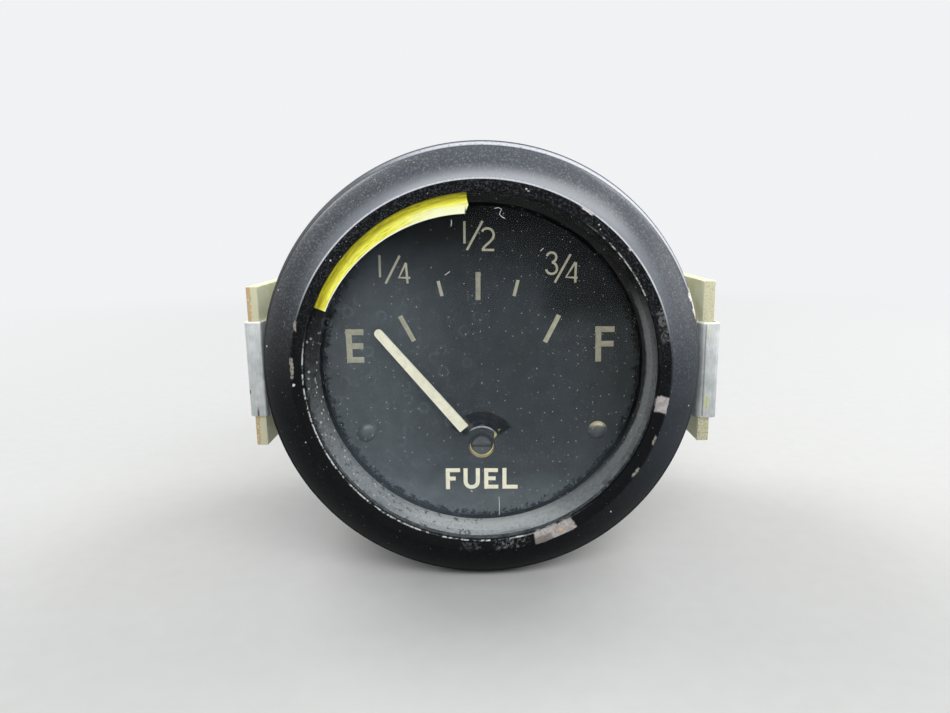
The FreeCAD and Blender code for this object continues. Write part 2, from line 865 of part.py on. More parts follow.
def clamp_nut(side):
    """A knurled nut for turning by hand, with a plain shoulder against the washer."""
    x = side * stud_x
    grip_front = washer_back + clamp_nut_shoulder_length
    grip_back = washer_back + clamp_nut_thickness
    points = []
    for step in range(2 * clamp_nut_teeth + 1):
        turn = math.pi * step / clamp_nut_teeth
        radius = clamp_nut_radius - (clamp_nut_tooth if step % 2 else 0)
        points.append(FreeCAD.Vector(x + radius * math.cos(turn), grip_front, radius * math.sin(turn)))
    grip = Part.Face(Part.makePolygon(points)).extrude(BACK * (grip_back - grip_front))
    grip = grip.common(bevelled_disc(clamp_nut_radius, grip_front, grip_back, nut_bevel, x, 0))
    shoulder = rod(clamp_nut_shoulder, washer_back, grip_front, x, 0)
    body = grip.fuse(shoulder).removeSplitter()
    return body.cut(rod(stud_radius + stud_fit, washer_back, grip_back, x, 0))


def pair(make):
    return [make(-1), make(1)]


save("bezel", bezel())
save("lens", lens())
save("lens_gasket", lens_gasket())
save("dial_surround", dial_surround())
save("case_flange", case_flange())
save("case_can", case_can())

save("dial_plate", dial_plate())
save("dial_screws", *pair(lambda side: dial_screw(side * dial_screw_x, dial_screw_z)))
save("dial_posts", *pair(lambda side: dial_post(side * dial_screw_x, dial_screw_z)))

save("front_plate", movement_plate(plate_front, plate_hole))
save("rear_plate", rear_plate())
save("frame_pillars", *[rod(pillar_radius, plate_back, rear_plate_front, x, z) for x, z in pillar_places()])
save("front_bridge", front_bridge())
save("bridge_posts", *pair(bridge_post))
save("front_pivot_screw", front_pivot_screw())
save("rear_pivot_screw", rear_pivot_screw())
save("stop_pins", *pair(stop_pin))
save("damping_cup", damping_cup())

save("coil_bobbins", *pair(lambda side: coil_bobbin(side * coil_angle)))
save("coil_windings", *pair(lambda side: coil_winding(side * coil_angle)))
save("pole_cores", *pair(lambda side: pole_core(side * coil_angle)))
save("coil_yoke", coil_yoke())

# The pieces on the staff are made upright and turned to where the pointer rests
turning_pieces = {
    "pointer": pointer(),
    "pointer_staff": pointer_staff(),
    "pointer_hub": pointer_hub(),
    "balance_arm": balance_arm(),
    "balance_weight": balance_weight(),
    "armature": armature(),
    "damping_vane": damping_vane(),
}
for name, shape in turning_pieces.items():
    save(name, turn_about_pivot(shape, pointer_rest))

save("clamp_studs", *pair(clamp_stud))
save("stud_spacers", *pair(stud_spacer))
save("case_lock_washers", *pair(case_lock_washer))
save("case_nuts", *pair(case_nut))

save("terminal_studs", *pair(terminal_stud))
save("terminal_inner_insulators", *pair(terminal_inner_insulator))
save("terminal_outer_insulators", *pair(terminal_outer_insulator))
save("terminal_base_nuts", *pair(lambda side: terminal_nut(side, terminal_nut_front)))
save("terminal_lock_washers", *pair(terminal_washer))
save("terminal_top_nuts", *pair(lambda side: terminal_nut(side, terminal_top_front)))
save("calibration_resistor", calibration_resistor())
save("resistor_leads", *pair(resistor_lead))

save("mounting_strap", mounting_strap())
save("left_edge_clip", edge_clip(-1, left_clip_z, clip_slack))
save("right_edge_clip", edge_clip(1, right_clip_z, right_clip_spring))
save("strap_washers", *pair(strap_washer))
save("left_clamp_nut", clamp_nut(-1))
save("right_clamp_nut", clamp_nut(1))
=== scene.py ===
import bpy
import math
from mathutils import Matrix, Vector


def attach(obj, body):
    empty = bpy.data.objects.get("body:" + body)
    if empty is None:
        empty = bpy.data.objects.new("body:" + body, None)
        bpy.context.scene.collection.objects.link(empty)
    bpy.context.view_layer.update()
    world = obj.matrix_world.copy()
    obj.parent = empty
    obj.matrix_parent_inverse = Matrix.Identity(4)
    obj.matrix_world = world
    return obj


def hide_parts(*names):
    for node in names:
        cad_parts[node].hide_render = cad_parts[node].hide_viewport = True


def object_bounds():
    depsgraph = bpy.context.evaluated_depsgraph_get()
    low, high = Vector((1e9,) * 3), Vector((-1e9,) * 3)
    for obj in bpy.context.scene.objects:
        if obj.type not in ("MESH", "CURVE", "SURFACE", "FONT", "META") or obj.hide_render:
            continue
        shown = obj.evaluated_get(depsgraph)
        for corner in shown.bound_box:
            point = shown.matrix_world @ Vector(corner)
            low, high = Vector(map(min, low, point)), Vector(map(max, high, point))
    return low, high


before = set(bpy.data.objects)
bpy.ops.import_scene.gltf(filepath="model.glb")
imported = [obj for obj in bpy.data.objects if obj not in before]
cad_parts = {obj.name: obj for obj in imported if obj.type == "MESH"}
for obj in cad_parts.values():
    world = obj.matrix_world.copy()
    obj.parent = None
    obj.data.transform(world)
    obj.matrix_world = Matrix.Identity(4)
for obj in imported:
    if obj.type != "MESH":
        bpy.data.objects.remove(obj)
cad_low, cad_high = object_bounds()
bpy.ops.object.select_all(action="DESELECT")
mm = 0.001

# The camera stands in front of the dial and a little above it, 95 mm from the bezel,
# and is turned by the three directions that its right, up and back sides face.
bpy.ops.object.camera_add(location=(0, 0, 0))
camera = bpy.context.object
camera.name = "camera"
camera.data.lens = 26.4365
camera.data.sensor_width = 36
camera.data.clip_start = 0.001
camera_right = Vector((0.99986, 0.00897, -0.01405))
camera_up = Vector((0.01209, 0.19043, 0.98163))
camera_back = Vector((0.01148, -0.98166, 0.19029))
turned_camera = Matrix((camera_right, camera_up, camera_back)).transposed().to_4x4()
camera.matrix_world = Matrix.Translation(Vector((0.324, -94.636, 19.689)) * mm) @ turned_camera
bpy.context.scene.camera = camera
bpy.context.scene.view_settings.view_transform = "Standard"


# The floor is a plain pale sheet under the bezel, and the room is a pale surround.
# A long soft lamp hangs in front of the gauge, one behind it at either side, and a weak one at the right.
class Wire:
    """A socket of a material. Arithmetic on it adds Math nodes."""

    def __init__(self, socket):
        self.socket = socket

    def node(self, kind, settings=None, values=None, output=0):
        """Adds any other node. Its settings are set first, and then its sockets take values or wires."""
        tree = self.socket.id_data
        made = tree.nodes.new(kind)
        for name, setting in (settings or {}).items():
            if name == "stops":
                ramp = made.color_ramp.elements
                ramp.remove(ramp[1])
                ramp[0].position = setting[0][0]
                ramp[0].color = setting[0][1]
                for position, colour in setting[1:]:
                    ramp.new(position).color = colour
            else:
                setattr(made, name, setting)
        for name, value in (values or {}).items():
            if isinstance(value, Wire):
                tree.links.new(value.socket, made.inputs[name])
            else:
                made.inputs[name].default_value = value
        return Wire(made.outputs[output])

    def maths(self, operation, *values):
        return self.node("ShaderNodeMath", {"operation": operation}, dict(enumerate(values)))

    def __add__(self, other):
        return self.maths("ADD", self, other)

    def __radd__(self, other):
        return self.maths("ADD", other, self)

    def __sub__(self, other):
        return self.maths("SUBTRACT", self, other)

    def __rsub__(self, other):
        return self.maths("SUBTRACT", other, self)

    def __mul__(self, other):
        return self.maths("MULTIPLY", self, other)

    def __rmul__(self, other):
        return self.maths("MULTIPLY", other, self)

    def __truediv__(self, other):
        return self.maths("DIVIDE", self, other)

    def __pow__(self, other):
        return self.maths("POWER", self, other)

    def __abs__(self):
        return self.maths("ABSOLUTE", self)

    def step(self, low, high):
        """Goes smoothly from 0 at low to 1 at high, or down where low is the larger."""
        edges = {"Value": self, "From Min": low, "From Max": high}
        return self.node("ShaderNodeMapRange", {"interpolation_type": "SMOOTHSTEP"}, edges)

    def blend(self, first, second):
        """The first colour where this is 0 and the second where it is 1."""
        return self.node("ShaderNodeMix", {"data_type": "RGBA"}, {0: self, 6: first, 7: second}, 2)

    def split(self):
        """The three numbers of a place: across, along and up."""
        return [self.node("ShaderNodeSeparateXYZ", None, {0: self}, axis) for axis in range(3)]

    def gap(self, point):
        """How far this place is from a point."""
        return self.node("ShaderNodeVectorMath", {"operation": "DISTANCE"}, {0: self, 1: point}, 1)

    def noise(self, scale, detail=2.0, roughness=0.5):
        """Cloudy noise with this many lumps to a millimetre."""
        values = {"Vector": self, "Scale": scale, "Detail": detail, "Roughness": roughness}
        return self.node("ShaderNodeTexNoise", None, values)

    def specks(self, scale, size, share, flat=False):
        """Round specks in a share of the cells of a grid with this many cells to a millimetre."""
        settings = {"voronoi_dimensions": "2D" if flat else "3D"}
        values = {"Vector": self, "Scale": scale}
        near = self.node("ShaderNodeTexVoronoi", settings, values)
        chance = self.node("ShaderNodeTexVoronoi", settings, values, 1)
        chance = chance.node("ShaderNodeSeparateColor", None, {0: chance})
        return near.step(size, size * 0.6) * chance.step(share, share * 0.98)

    def feed(self, shader, name):
        self.socket.id_data.links.new(self.socket, shader.inputs[name])


def finish(name, colour, roughness, metallic=0.0):
    """A new material with even values, its shader, and the wire of its places in millimetres."""
    material = bpy.data.materials.new(name)
    material.use_nodes = True
    shader = material.node_tree.nodes["Principled BSDF"]
    shader.inputs["Base Color"].default_value = (*colour, 1)
    shader.inputs["Roughness"].default_value = roughness
    shader.inputs["Metallic"].default_value = metallic
    coordinates = Wire(material.node_tree.nodes.new("ShaderNodeTexCoord").outputs["Object"])
    scaling = {0: coordinates, "Scale": 1 / mm}
    place = coordinates.node("ShaderNodeVectorMath", {"operation": "SCALE"}, scaling)
    return material, shader, place


def bump(height, distance, strength=1.0):
    """A normal from a height that is in shares of a distance in millimetres."""
    values = {"Strength": strength, "Distance": distance * mm, "Height": height}
    return height.node("ShaderNodeBump", None, values)


def laid_over(factor, under, over):
    """Shows one shader where the factor is 0 and another where it is 1."""
    mixed = factor.socket.id_data.nodes.new("ShaderNodeMixShader")
    factor.feed(mixed, 0)
    Wire(under.outputs[0]).feed(mixed, 1)
    Wire(over.outputs[0]).feed(mixed, 2)
    return mixed


floor_paint, floor_shader, floor_place = finish("floor_paint", (0.72, 0.72, 0.71), 0.9)
floor_grain = floor_place.noise(0.35, 4.0)
floor_grain.blend((0.49, 0.49, 0.48, 1), (0.53, 0.53, 0.52, 1)).feed(floor_shader, "Base Color")
room_white = (0.88, 0.89, 0.90, 1)
floor_tree = floor_paint.node_tree
far_off = floor_place.gap((0, 0, 0)).step(130.0, 480.0)
far_white = floor_tree.nodes.new("ShaderNodeEmission")
far_white.inputs["Color"].default_value = room_white
lay_floor = laid_over(far_off, floor_shader, far_white)
Wire(lay_floor.outputs[0]).feed(floor_tree.nodes["Material Output"], "Surface")
bpy.ops.mesh.primitive_plane_add(size=8, location=(0, 0, cad_low.z - 0.05 * mm))
floor = bpy.context.object
floor.name = "floor"
floor.data.materials.append(floor_paint)

world = bpy.data.worlds.new("room")
bpy.context.scene.world = world
world.use_nodes = True
sky = world.node_tree.nodes["Background"]
path = world.node_tree.nodes.new("ShaderNodeLightPath")
seen = Wire(path.outputs["Is Camera Ray"])
seen = seen.maths("MAXIMUM", seen, Wire(path.outputs["Is Transmission Ray"]))
seen = seen.maths("MAXIMUM", seen, Wire(path.outputs["Is Glossy Ray"]))
seen.blend((0.38, 0.40, 0.42, 1), room_white).feed(sky, "Color")


def soft_lamp(name, place, size, power):
    """A rectangular lamp that faces the middle of the gauge."""
    bpy.ops.object.light_add(type="AREA", location=place)
    lamp = bpy.context.object
    lamp.name = name
    lamp.data.shape = "RECTANGLE"
    lamp.data.size = size[0]
    lamp.data.size_y = size[1]
    lamp.data.energy = power
    lamp.rotation_euler = (-Vector(place)).to_track_quat("-Z", "Y").to_euler()


soft_lamp("lamp_front", (0.13, -0.42, 0.39), (0.80, 0.24), 3.1)
soft_lamp("lamp_back_left", (-0.38, 0.26, 0.42), (0.35, 0.35), 2.4)
soft_lamp("lamp_back_right", (0.40, 0.28, 0.40), (0.35, 0.35), 2.4)
soft_lamp("lamp_right", (0.55, -0.10, 0.10), (0.30, 0.30), 0.4)


# The bezel is a ring pressed from steel sheet and rolled over at the back. It is turned from its
# outline, baked black, dusty, and chipped to pale metal along the lip and the ridge of its window.
# Its colour carries painted highlights along the ridge and the crest, and it grows paler toward the
# upper right, partly from dust and partly as painted light.
def draw_path(name, points):
    """A new piece that is a line of edges through points. It is left in edit mode."""
    bpy.ops.mesh.primitive_plane_add(size=mm, location=Vector(points[0]) * mm)
    bpy.context.object.name = name
    bpy.ops.object.mode_set(mode="EDIT")
    bpy.ops.mesh.select_mode(type="VERT")
    bpy.ops.mesh.merge(type="CENTER")
    for last, following in zip(points, points[1:]):
        move = (Vector(following) - Vector(last)) * mm
        bpy.ops.mesh.extrude_vertices_move(TRANSFORM_OT_translate={"value": move})
    return bpy.context.object


def settle(piece, smooth=None):
    """Leaves edit mode and puts the piece's place into its mesh."""
    bpy.ops.object.mode_set(mode="OBJECT")
    bpy.ops.object.transform_apply(location=True, rotation=True, scale=True)
    if smooth is not None:
        bpy.ops.object.shade_smooth_by_angle(angle=math.radians(smooth))
    return piece


same_point = 0.0005 * mm


def turned(name, outline, steps, centre=(0, 0)):
    """A closed ring turned about a line along Y from an outline of radius and depth."""
    points = [(centre[0] + radius, depth, centre[1]) for radius, depth in outline]
    piece = draw_path(name, points + points[:1])
    bpy.ops.mesh.select_all(action="SELECT")
    bpy.ops.mesh.remove_doubles(threshold=same_point)
    middle = Vector((centre[0], 0, centre[1])) * mm
    bpy.ops.mesh.select_all(action="SELECT")
    bpy.ops.mesh.spin(steps=steps, angle=math.radians(360), center=middle, axis=(0, 1, 0))
    bpy.ops.mesh.select_all(action="SELECT")
    bpy.ops.mesh.remove_doubles(threshold=same_point)
    bpy.ops.mesh.normals_make_consistent(inside=False)
    return piece


def choose_edges(piece, wanted):
    """In edit mode, selects the edges whose two ends are both wanted."""
    bpy.ops.mesh.select_mode(type="EDGE")
    bpy.ops.mesh.select_all(action="DESELECT")
    bpy.ops.object.mode_set(mode="OBJECT")
    shift = piece.location
    for edge in piece.data.edges:
        ends = [(piece.data.vertices[corner].co + shift) / mm for corner in edge.vertices]
        edge.select = all(wanted(end) for end in ends)
    bpy.ops.object.mode_set(mode="EDIT")


def round_ring(piece, radius, depth, size, segments=4):
    """Rounds the edge that runs round the axis at a radius and depth."""
    near = 0.02

    def on_ring(end):
        return abs(math.hypot(end.x, end.z) - radius) < near and abs(end.y - depth) < near

    choose_edges(piece, on_ring)
    bpy.ops.mesh.bevel(offset=size * mm, segments=segments, profile=0.5)


crest = (29.23, -2.9)
ridge = (24.95, -5.53)
lip = (23.41, -5.17)
rear_edge = (30.12, 0)
face_bulge = 0.28
face_outwards = (0.524, -0.852)
bezel_outline = [lip, (23.41, -4.65), (24.85, -4.65), (28.48, -2.45), (29.4, -0.9), (26.55, -0.9)]
bezel_outline += [(26.55, 0), rear_edge, crest]
for share in (1 / 6, 2 / 6, 3 / 6, 4 / 6, 5 / 6):
    swell = 4 * share * (1 - share) * face_bulge
    radius = crest[0] + (ridge[0] - crest[0]) * share + swell * face_outwards[0]
    depth = crest[1] + (ridge[1] - crest[1]) * share + swell * face_outwards[1]
    bezel_outline.append((radius, depth))
bezel_outline.append(ridge)
bezel_ring = turned("bezel_ring", bezel_outline, 256)
round_ring(bezel_ring, *ridge, 0.22)
round_ring(bezel_ring, *crest, 0.38)
round_ring(bezel_ring, *lip, 0.10, 3)
round_ring(bezel_ring, *rear_edge, 0.25)
settle(bezel_ring, 25)


def axis_distance(across, up):
    """How far a place is from the gauge's axis."""
    return (across * across + up * up) ** 0.5


def axis_turn(across, up):
    """The angle of a place round the gauge's axis, in degrees clockwise from the top."""
    return across.maths("ARCTAN2", across, up) * (180 / math.pi)


def combined(first, second, third=0.0):
    """A place made of its numbers, for a pattern that is flat or stretched."""
    return first.node("ShaderNodeCombineXYZ", None, {0: first, 1: second, 2: third})


enamel, enamel_shader, enamel_place = finish("black_enamel", (0.012, 0.013, 0.015), 0.38)
across, along, up = enamel_place.split()
from_axis = axis_distance(across, up)
clockwise = axis_turn(across, up)
flat_enamel = combined(across, up)
cloud = enamel_place.noise(0.25, 5.0, 0.6)
lumps = enamel_place.noise(0.9, 3.0, 0.6)
fine = enamel_place.noise(2.5, 4.0, 0.65)
grit = enamel_place.noise(9.0, 3.0, 0.7)
wobble = (lumps - 0.5) * 2.6 + (fine - 0.5) * 1.4


def most(*masks):
    """The largest of several masks."""
    largest = masks[0]
    for mask in masks[1:]:
        largest = largest.maths("MAXIMUM", largest, mask)
    return largest


def covered(tone, coats):
    """A colour with other colours laid over it in turn, each where its mask is 1."""
    for mask, colour in coats:
        tone = mask.blend(tone, (*colour, 1))
    return tone


def patch(start, end, inner, outer, ragged):
    """A ragged patch between two angles clockwise from the top and two radii."""
    turn = clockwise + wobble * ragged * 4
    reach = from_axis + wobble * ragged
    sides = turn.step(start - 0.4, start + 0.4) * turn.step(end + 0.4, end - 0.4)
    return sides * reach.step(inner - 0.05, inner + 0.05) * reach.step(outer + 0.05, outer - 0.05)


def spot(angle, radius, size):
    """A ragged spot at an angle clockwise from the top and a radius."""
    turn = math.radians(angle)
    middle = (radius * math.sin(turn), radius * math.cos(turn), 0)
    return (flat_enamel.gap(middle) + wobble * size * 0.8).step(size, size * 0.7)


front_only = along.step(-2.9, -3.2)
uneven_turn = clockwise + wobble * 10
upper = uneven_turn.step(-95.0, -40.0) * uneven_turn.step(105.0, 60.0)
torn = (fine + grit * 0.5).step(0.60, 0.72)
at_lip = (from_axis + (grit - 0.5) * 0.2).step(23.62, 23.48) * along.step(-5.0, -5.12)
chipped = clockwise.step(34.0, 46.0) * clockwise.step(72.0, 64.0)
chipped = most(chipped, clockwise.step(-76.0, -86.0) * 0.8, clockwise.step(160.0, 170.0))
lip_metal = at_lip * torn * (lumps + fine * 0.5).step(0.68, 0.80) * chipped
lip_bare = at_lip * from_axis.step(23.55, 23.46) * (fine + grit * 0.3).step(0.56, 0.70)
lip_bare = lip_bare * most(clockwise.step(136.0, 150.0), clockwise.step(-72.0, -80.0)) * 0.3
big_chips = most(patch(98.0, 103.0, 23.4, 25.0, 0.16), patch(149.2, 162.8, 23.4, 25.02, 0.15))
pale_spots = [
    (-92.6, 24.65, 0.24), (-82.6, 28.7, 0.20), (-67.0, 28.7, 0.14), (-51.5, 24.2, 0.12),
    (-111.0, 25.2, 0.10), (138.0, 26.2, 0.12), (14.2, 24.3, 0.13), (14.9, 24.1, 0.10),
    (38.4, 24.3, 0.12), (39.6, 24.0, 0.10), (100.2, 28.3, 0.10),
]
small_chips = most(patch(31.6, 35.4, 24.74, 24.98, 0.16), patch(49.7, 50.5, 24.70, 24.95, 0.10))
small_chips = most(small_chips, *(spot(*place) for place in pale_spots))
grey_patches = [
    (-90.5, -84.5, 24.58, 25.0, 0.35), (121.8, 125.4, 24.60, 24.95, 0.45),
    (110.8, 113.4, 24.68, 24.96, 0.30), (-75.4, -73.2, 24.72, 25.02, 0.30),
]
grey_chips = most(*(patch(*place) for place in grey_patches))
grey_chips = grey_chips * (fine + grit * 0.4).step(0.46, 0.66)
scratched = patch(165.0, 176.5, 23.5, 24.9, 0.4) * (fine * 0.7 + grit * 0.3).step(0.50, 0.64)
scratched = most(scratched * 0.6, patch(-179.0, -172.5, 23.8, 24.8, 0.7) * fine.step(0.44, 0.66) * 0.22)
nick_turn = clockwise + wobble * 2
side_nick = nick_turn.step(69.5, 70.5) * nick_turn.step(77.2, 76.4)
side_nick = side_nick * (along + wobble * 0.5).step(-3.05, -2.85)
dusty_band = patch(70.0, 81.0, 23.9, 24.9, 0.3) * fine.step(0.42, 0.62)
rust = enamel_place.specks(1.6, 0.19, 0.40) * abs(clockwise + 19).step(11.0, 5.0)
rust = rust * from_axis.step(26.2, 26.8) * front_only
orange_fleck = spot(154.0, 24.3, 0.26)
speckle = enamel_place.noise(3.4, 3.0, 0.75).step(0.48, 0.68) * (0.35 + from_axis.step(24.85, 25.1) * 0.65)
dust = enamel_place.specks(2.2, 0.17, 0.10) * front_only
fine_dust = enamel_place.specks(5.5, 0.26, 0.34) * front_only
# Dust and painted light: the paint grows paler toward the upper right, where the lamps fall.
dust_and_top_light = (0.35 + cloud * 0.5 + fine * 0.3) * (up + across * 0.5).step(-22.0, 30.0)
dust_and_top_light = dust_and_top_light * from_axis.step(24.8, 25.2)
# Painted highlight: a pale sheen on the upper face, growing toward the ridge.
painted_ridge_sheen = from_axis.step(27.2, 24.9) * from_axis.step(24.82, 24.95) * (clockwise + 2).step(-78.0, -25.0)
painted_ridge_sheen = painted_ridge_sheen * clockwise.step(92.0, 40.0) * (0.7 + fine * 0.4)
# Painted highlight: a thin pale line along the top of the ridge.
ridge_highlight_line = from_axis.step(24.84, 24.92) * from_axis.step(25.12, 25.02) * clockwise.step(-78.0, -50.0)
ridge_highlight_line = ridge_highlight_line * clockwise.step(84.0, 60.0) * (0.5 + grit * 0.8)
# Painted highlight on the crest and the skirt at the top.
crest_highlight = (clockwise + (fine - 0.5) * 14).step(-36.0, -6.0) * clockwise.step(88.0, 55.0)
crest_highlight = crest_highlight * along.step(-3.0, -2.6) * along.step(-0.6, -1.6)
crest_highlight = crest_highlight * (fine + cloud * 0.3).step(0.40, 0.60)
base = dust_and_top_light.blend((0.004, 0.0045, 0.005, 1), (0.060, 0.070, 0.084, 1))
base = covered(base, [
    # The first three coats are painted highlights: the sheen, the ridge line and the crest.
    (painted_ridge_sheen * 0.85, (0.26, 0.28, 0.31)),
    (ridge_highlight_line * 0.9, (0.66, 0.67, 0.71)),
    (crest_highlight, (0.52, 0.53, 0.57)),
    (speckle * front_only * (0.04 + upper * 0.66), (0.175, 0.195, 0.225)),
    (fine_dust * (0.12 + upper * 0.68), (0.15, 0.16, 0.175)),
    (dust * (0.4 + upper * 0.6), (0.36, 0.37, 0.38)),
    (rust, (0.46, 0.36, 0.27)),
    (dusty_band * 0.7, (0.16, 0.16, 0.16)),
    (grey_chips, (0.25, 0.23, 0.20)),
])
chip_grain = (fine * 0.5 + lumps * 0.5).step(0.38, 0.60)
chip_colour = chip_grain.blend((0.25, 0.23, 0.22, 1), (0.42, 0.39, 0.38, 1))
chip_shadow = patch(157.5, 163.5, 24.2, 25.1, 0.5) * big_chips
base = big_chips.blend(base, chip_colour)
base = covered(base, [
    (chip_shadow * 0.7, (0.12, 0.105, 0.09)),
    (scratched, (0.22, 0.24, 0.26)),
    (small_chips, (0.60, 0.55, 0.52)),
    (orange_fleck, (0.55, 0.36, 0.16)),
    (side_nick, (0.74, 0.68, 0.64)),
    (lip_bare, (0.20, 0.21, 0.21)),
    (lip_metal, (0.66, 0.66, 0.64)),
])
base.feed(enamel_shader, "Base Color")
chips = most(big_chips, small_chips, grey_chips, lip_metal, side_nick)
rough = 0.27 + cloud * 0.16 + speckle * 0.12 + chips * 0.2 + dust * 0.3
rough = rough + along.step(-3.5, -2.9) * (0.2 + up.step(8.0, -8.0) * 0.4)
rough.feed(enamel_shader, "Roughness")
height = fine * 0.25 + grit * 0.15 + dust * 0.5 - chips * 0.8
bump(height, 0.05).feed(enamel_shader, "Normal")
bloom = up.step(-6.0, 20.0) * front_only * from_axis.step(24.8, 25.1)
bloom.feed(enamel_shader, "Coat Weight")
enamel_shader.inputs["Coat Roughness"].default_value = 0.26
enamel_shader.inputs["Specular IOR Level"].default_value = 0.06
bezel_ring.data.materials.append(enamel)
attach(bezel_ring, "case")
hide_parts("bezel")


# The glass is a plain disc that sits behind the bezel's lip. It mirrors the room faintly, and a
# bluish film on its front is a painted reflection of the room, darker at the upper right. It also
# carries settled dust, more of it round the rim and low down, with small white specks all over.
def dress(node, material):
    """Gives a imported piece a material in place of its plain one."""
    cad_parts[node].material_slots[0].material = material


glass, glass_shader, glass_place = finish("glass", (0.02, 0.022, 0.025), 0.03)
glass_tree = glass.node_tree
g_across, g_along, g_up = glass_place.split()
g_radius = axis_distance(g_across, g_up)
flat_place = combined(g_across, g_up)
drift = (flat_place.noise(0.22, 4.0, 0.6) - 0.5) * 9 + (flat_place.noise(1.3, 3.0, 0.6) - 0.5) * 2
# Painted reflection: where the glass would mirror the pale room, over all but the top and the right.
room_reflection = (g_up + drift).step(20.5, 10.0) * (g_across + g_up * 0.35 + drift).step(20.5, 10.0)
room_reflection = room_reflection * (g_across - g_up * 0.15 + drift).step(-23.5, -15.0)
# Painted reflection: a darker corner at the upper right, where the glass mirrors something dark.
dark_reflection_corner = (g_across + drift * 0.4).step(7.0, 10.5) * (g_up + drift * 0.4).step(5.5, 9.0)
room_reflection = room_reflection * (1.0 - dark_reflection_corner * 0.6)
smears = flat_place.noise(0.5, 5.0, 0.65)
# The veil is the painted reflection, stronger toward the left.
reflection_veil = room_reflection * (0.016 + g_across.step(6.0, -14.0) * 0.026 + smears * 0.020)
low_film = g_up.step(0.0, -21.0) * (smears * 0.05 + 0.015) * g_across.step(26.0, 4.0)
drop_grid = {"Vector": flat_place, "Scale": 0.33}
drop = flat_place.node("ShaderNodeTexVoronoi", {"voronoi_dimensions": "2D"}, drop_grid)
drop_rings = drop.step(0.26, 0.22) * drop.step(0.12, 0.21) * smears.step(0.42, 0.54)
drop_rings = drop_rings * g_across.step(4.0, -3.0) * g_up.step(14.0, 9.0) * 0.06
rim_film = g_radius.step(20.8, 23.2) * flat_place.noise(1.6, 4.0, 0.7).step(0.42, 0.62)
rim_film = rim_film * g_up.step(8.0, -12.0) * 0.12
g_specks = flat_place.specks(0.95, 0.065, 0.20, True)
g_small = flat_place.specks(2.6, 0.12, 0.04, True)
front_face = g_along.step(-4.5, -4.6)
white_dust = rim_film + g_specks * 0.55 + g_small * 0.35
# This film mixes real dirt with the painted reflection.
dirt_and_reflection = (reflection_veil + low_film + drop_rings + white_dust) * front_face
dirt_and_reflection = dirt_and_reflection.node("ShaderNodeClamp", None, {0: dirt_and_reflection})
facing = dirt_and_reflection.node("ShaderNodeLayerWeight", None, {"Blend": 0.5}, 1)
mirror = (0.004 + facing ** 5 * 0.9) * front_face
clear = glass_tree.nodes.new("ShaderNodeBsdfTransparent")
clear.inputs[0].default_value = (0.985, 0.985, 0.975, 1)
shine = glass_tree.nodes.new("ShaderNodeBsdfGlossy")
shine.inputs["Color"].default_value = (0.78, 0.90, 1.0, 1)
shine.inputs["Roughness"].default_value = 0.06
lay_shine = laid_over(mirror, clear, shine)
lay_dirt_and_reflection = laid_over(dirt_and_reflection, lay_shine, glass_shader)
# The painted reflection is bluish and the dust pale grey.
dirt_and_reflection_colour = white_dust.step(0.0, 0.2).blend((0.40, 0.50, 0.60, 1), (0.62, 0.63, 0.62, 1))
dirt_and_reflection_colour.feed(glass_shader, "Base Color")
glass_shader.inputs["Roughness"].default_value = 0.8
glass_shader.inputs["Specular IOR Level"].default_value = 0.0
Wire(lay_dirt_and_reflection.outputs[0]).feed(glass_tree.nodes["Material Output"], "Surface")
dress("lens", glass)


# A yellow arc is painted on the front of the glass from empty to a half. The brush left streaks
# along it, thin bare edges and a torn end at the top. Its outer half is darker as painted shadow of
# the bezel's lip, and a painted highlight whitens it near the top end.
def modify(piece, kind, **settings):
    """Adds a modifier to the active piece, sets it and applies it."""
    bpy.ops.object.modifier_add(type=kind)
    added = piece.modifiers[-1]
    for name, setting in settings.items():
        setattr(added, name, setting)
    bpy.ops.object.modifier_apply(modifier=added.name)


arc_start = -67.3
arc_end = -3.4
arc_front = -4.69
arc_radii = (21.0, 21.8, 22.6, 23.36)
start_turn = math.radians(arc_start)
end_turn = math.radians(arc_end)
low_end = Vector((math.sin(start_turn), 0, math.cos(start_turn)))
arc_points = [low_end * radius + Vector((0, arc_front, 0)) for radius in arc_radii]
range_arc = draw_path("range_arc", arc_points)
bpy.ops.mesh.select_all(action="SELECT")
arc_sweep = math.radians(arc_start - arc_end)
bpy.ops.mesh.spin(steps=64, angle=arc_sweep, center=(0, 0, 0), axis=(0, 1, 0))
settle(range_arc)
inner_start = 21.86
# Degrees by which the paint stops short at its torn end, at the nearest whole radius.
torn_end = {21: -1.5, 23: -0.35}
for vertex in range_arc.data.vertices:
    radius = math.hypot(vertex.co.x, vertex.co.z) / mm
    turn = math.atan2(vertex.co.x, vertex.co.z)
    if radius < 21.4:
        share = (math.degrees(turn) - arc_start) / (arc_end - arc_start)
        radius = inner_start - 1.0 * share - 0.16 * share * share
    if abs(turn - end_turn) < 0.001:
        turn += math.radians(torn_end.get(round(radius), 0.0))
    vertex.co.x = radius * math.sin(turn) * mm
    vertex.co.z = radius * math.cos(turn) * mm
modify(range_arc, "SOLIDIFY", thickness=0.03 * mm)
yellow, yellow_shader, yellow_place = finish("arc_yellow", (0.80, 0.76, 0.07), 0.35)
y_across, _, y_up = yellow_place.split()
y_radius = axis_distance(y_across, y_up)
y_turn = axis_turn(y_across, y_up)
streaks = combined(y_radius * 4.5, y_turn * 0.16).noise(1.0, 5.0, 0.7)
blotches = yellow_place.noise(1.2, 3.0, 0.6)
into_paint = y_radius - (inner_start - (y_turn - arc_start) * (1.0 / 62.7))
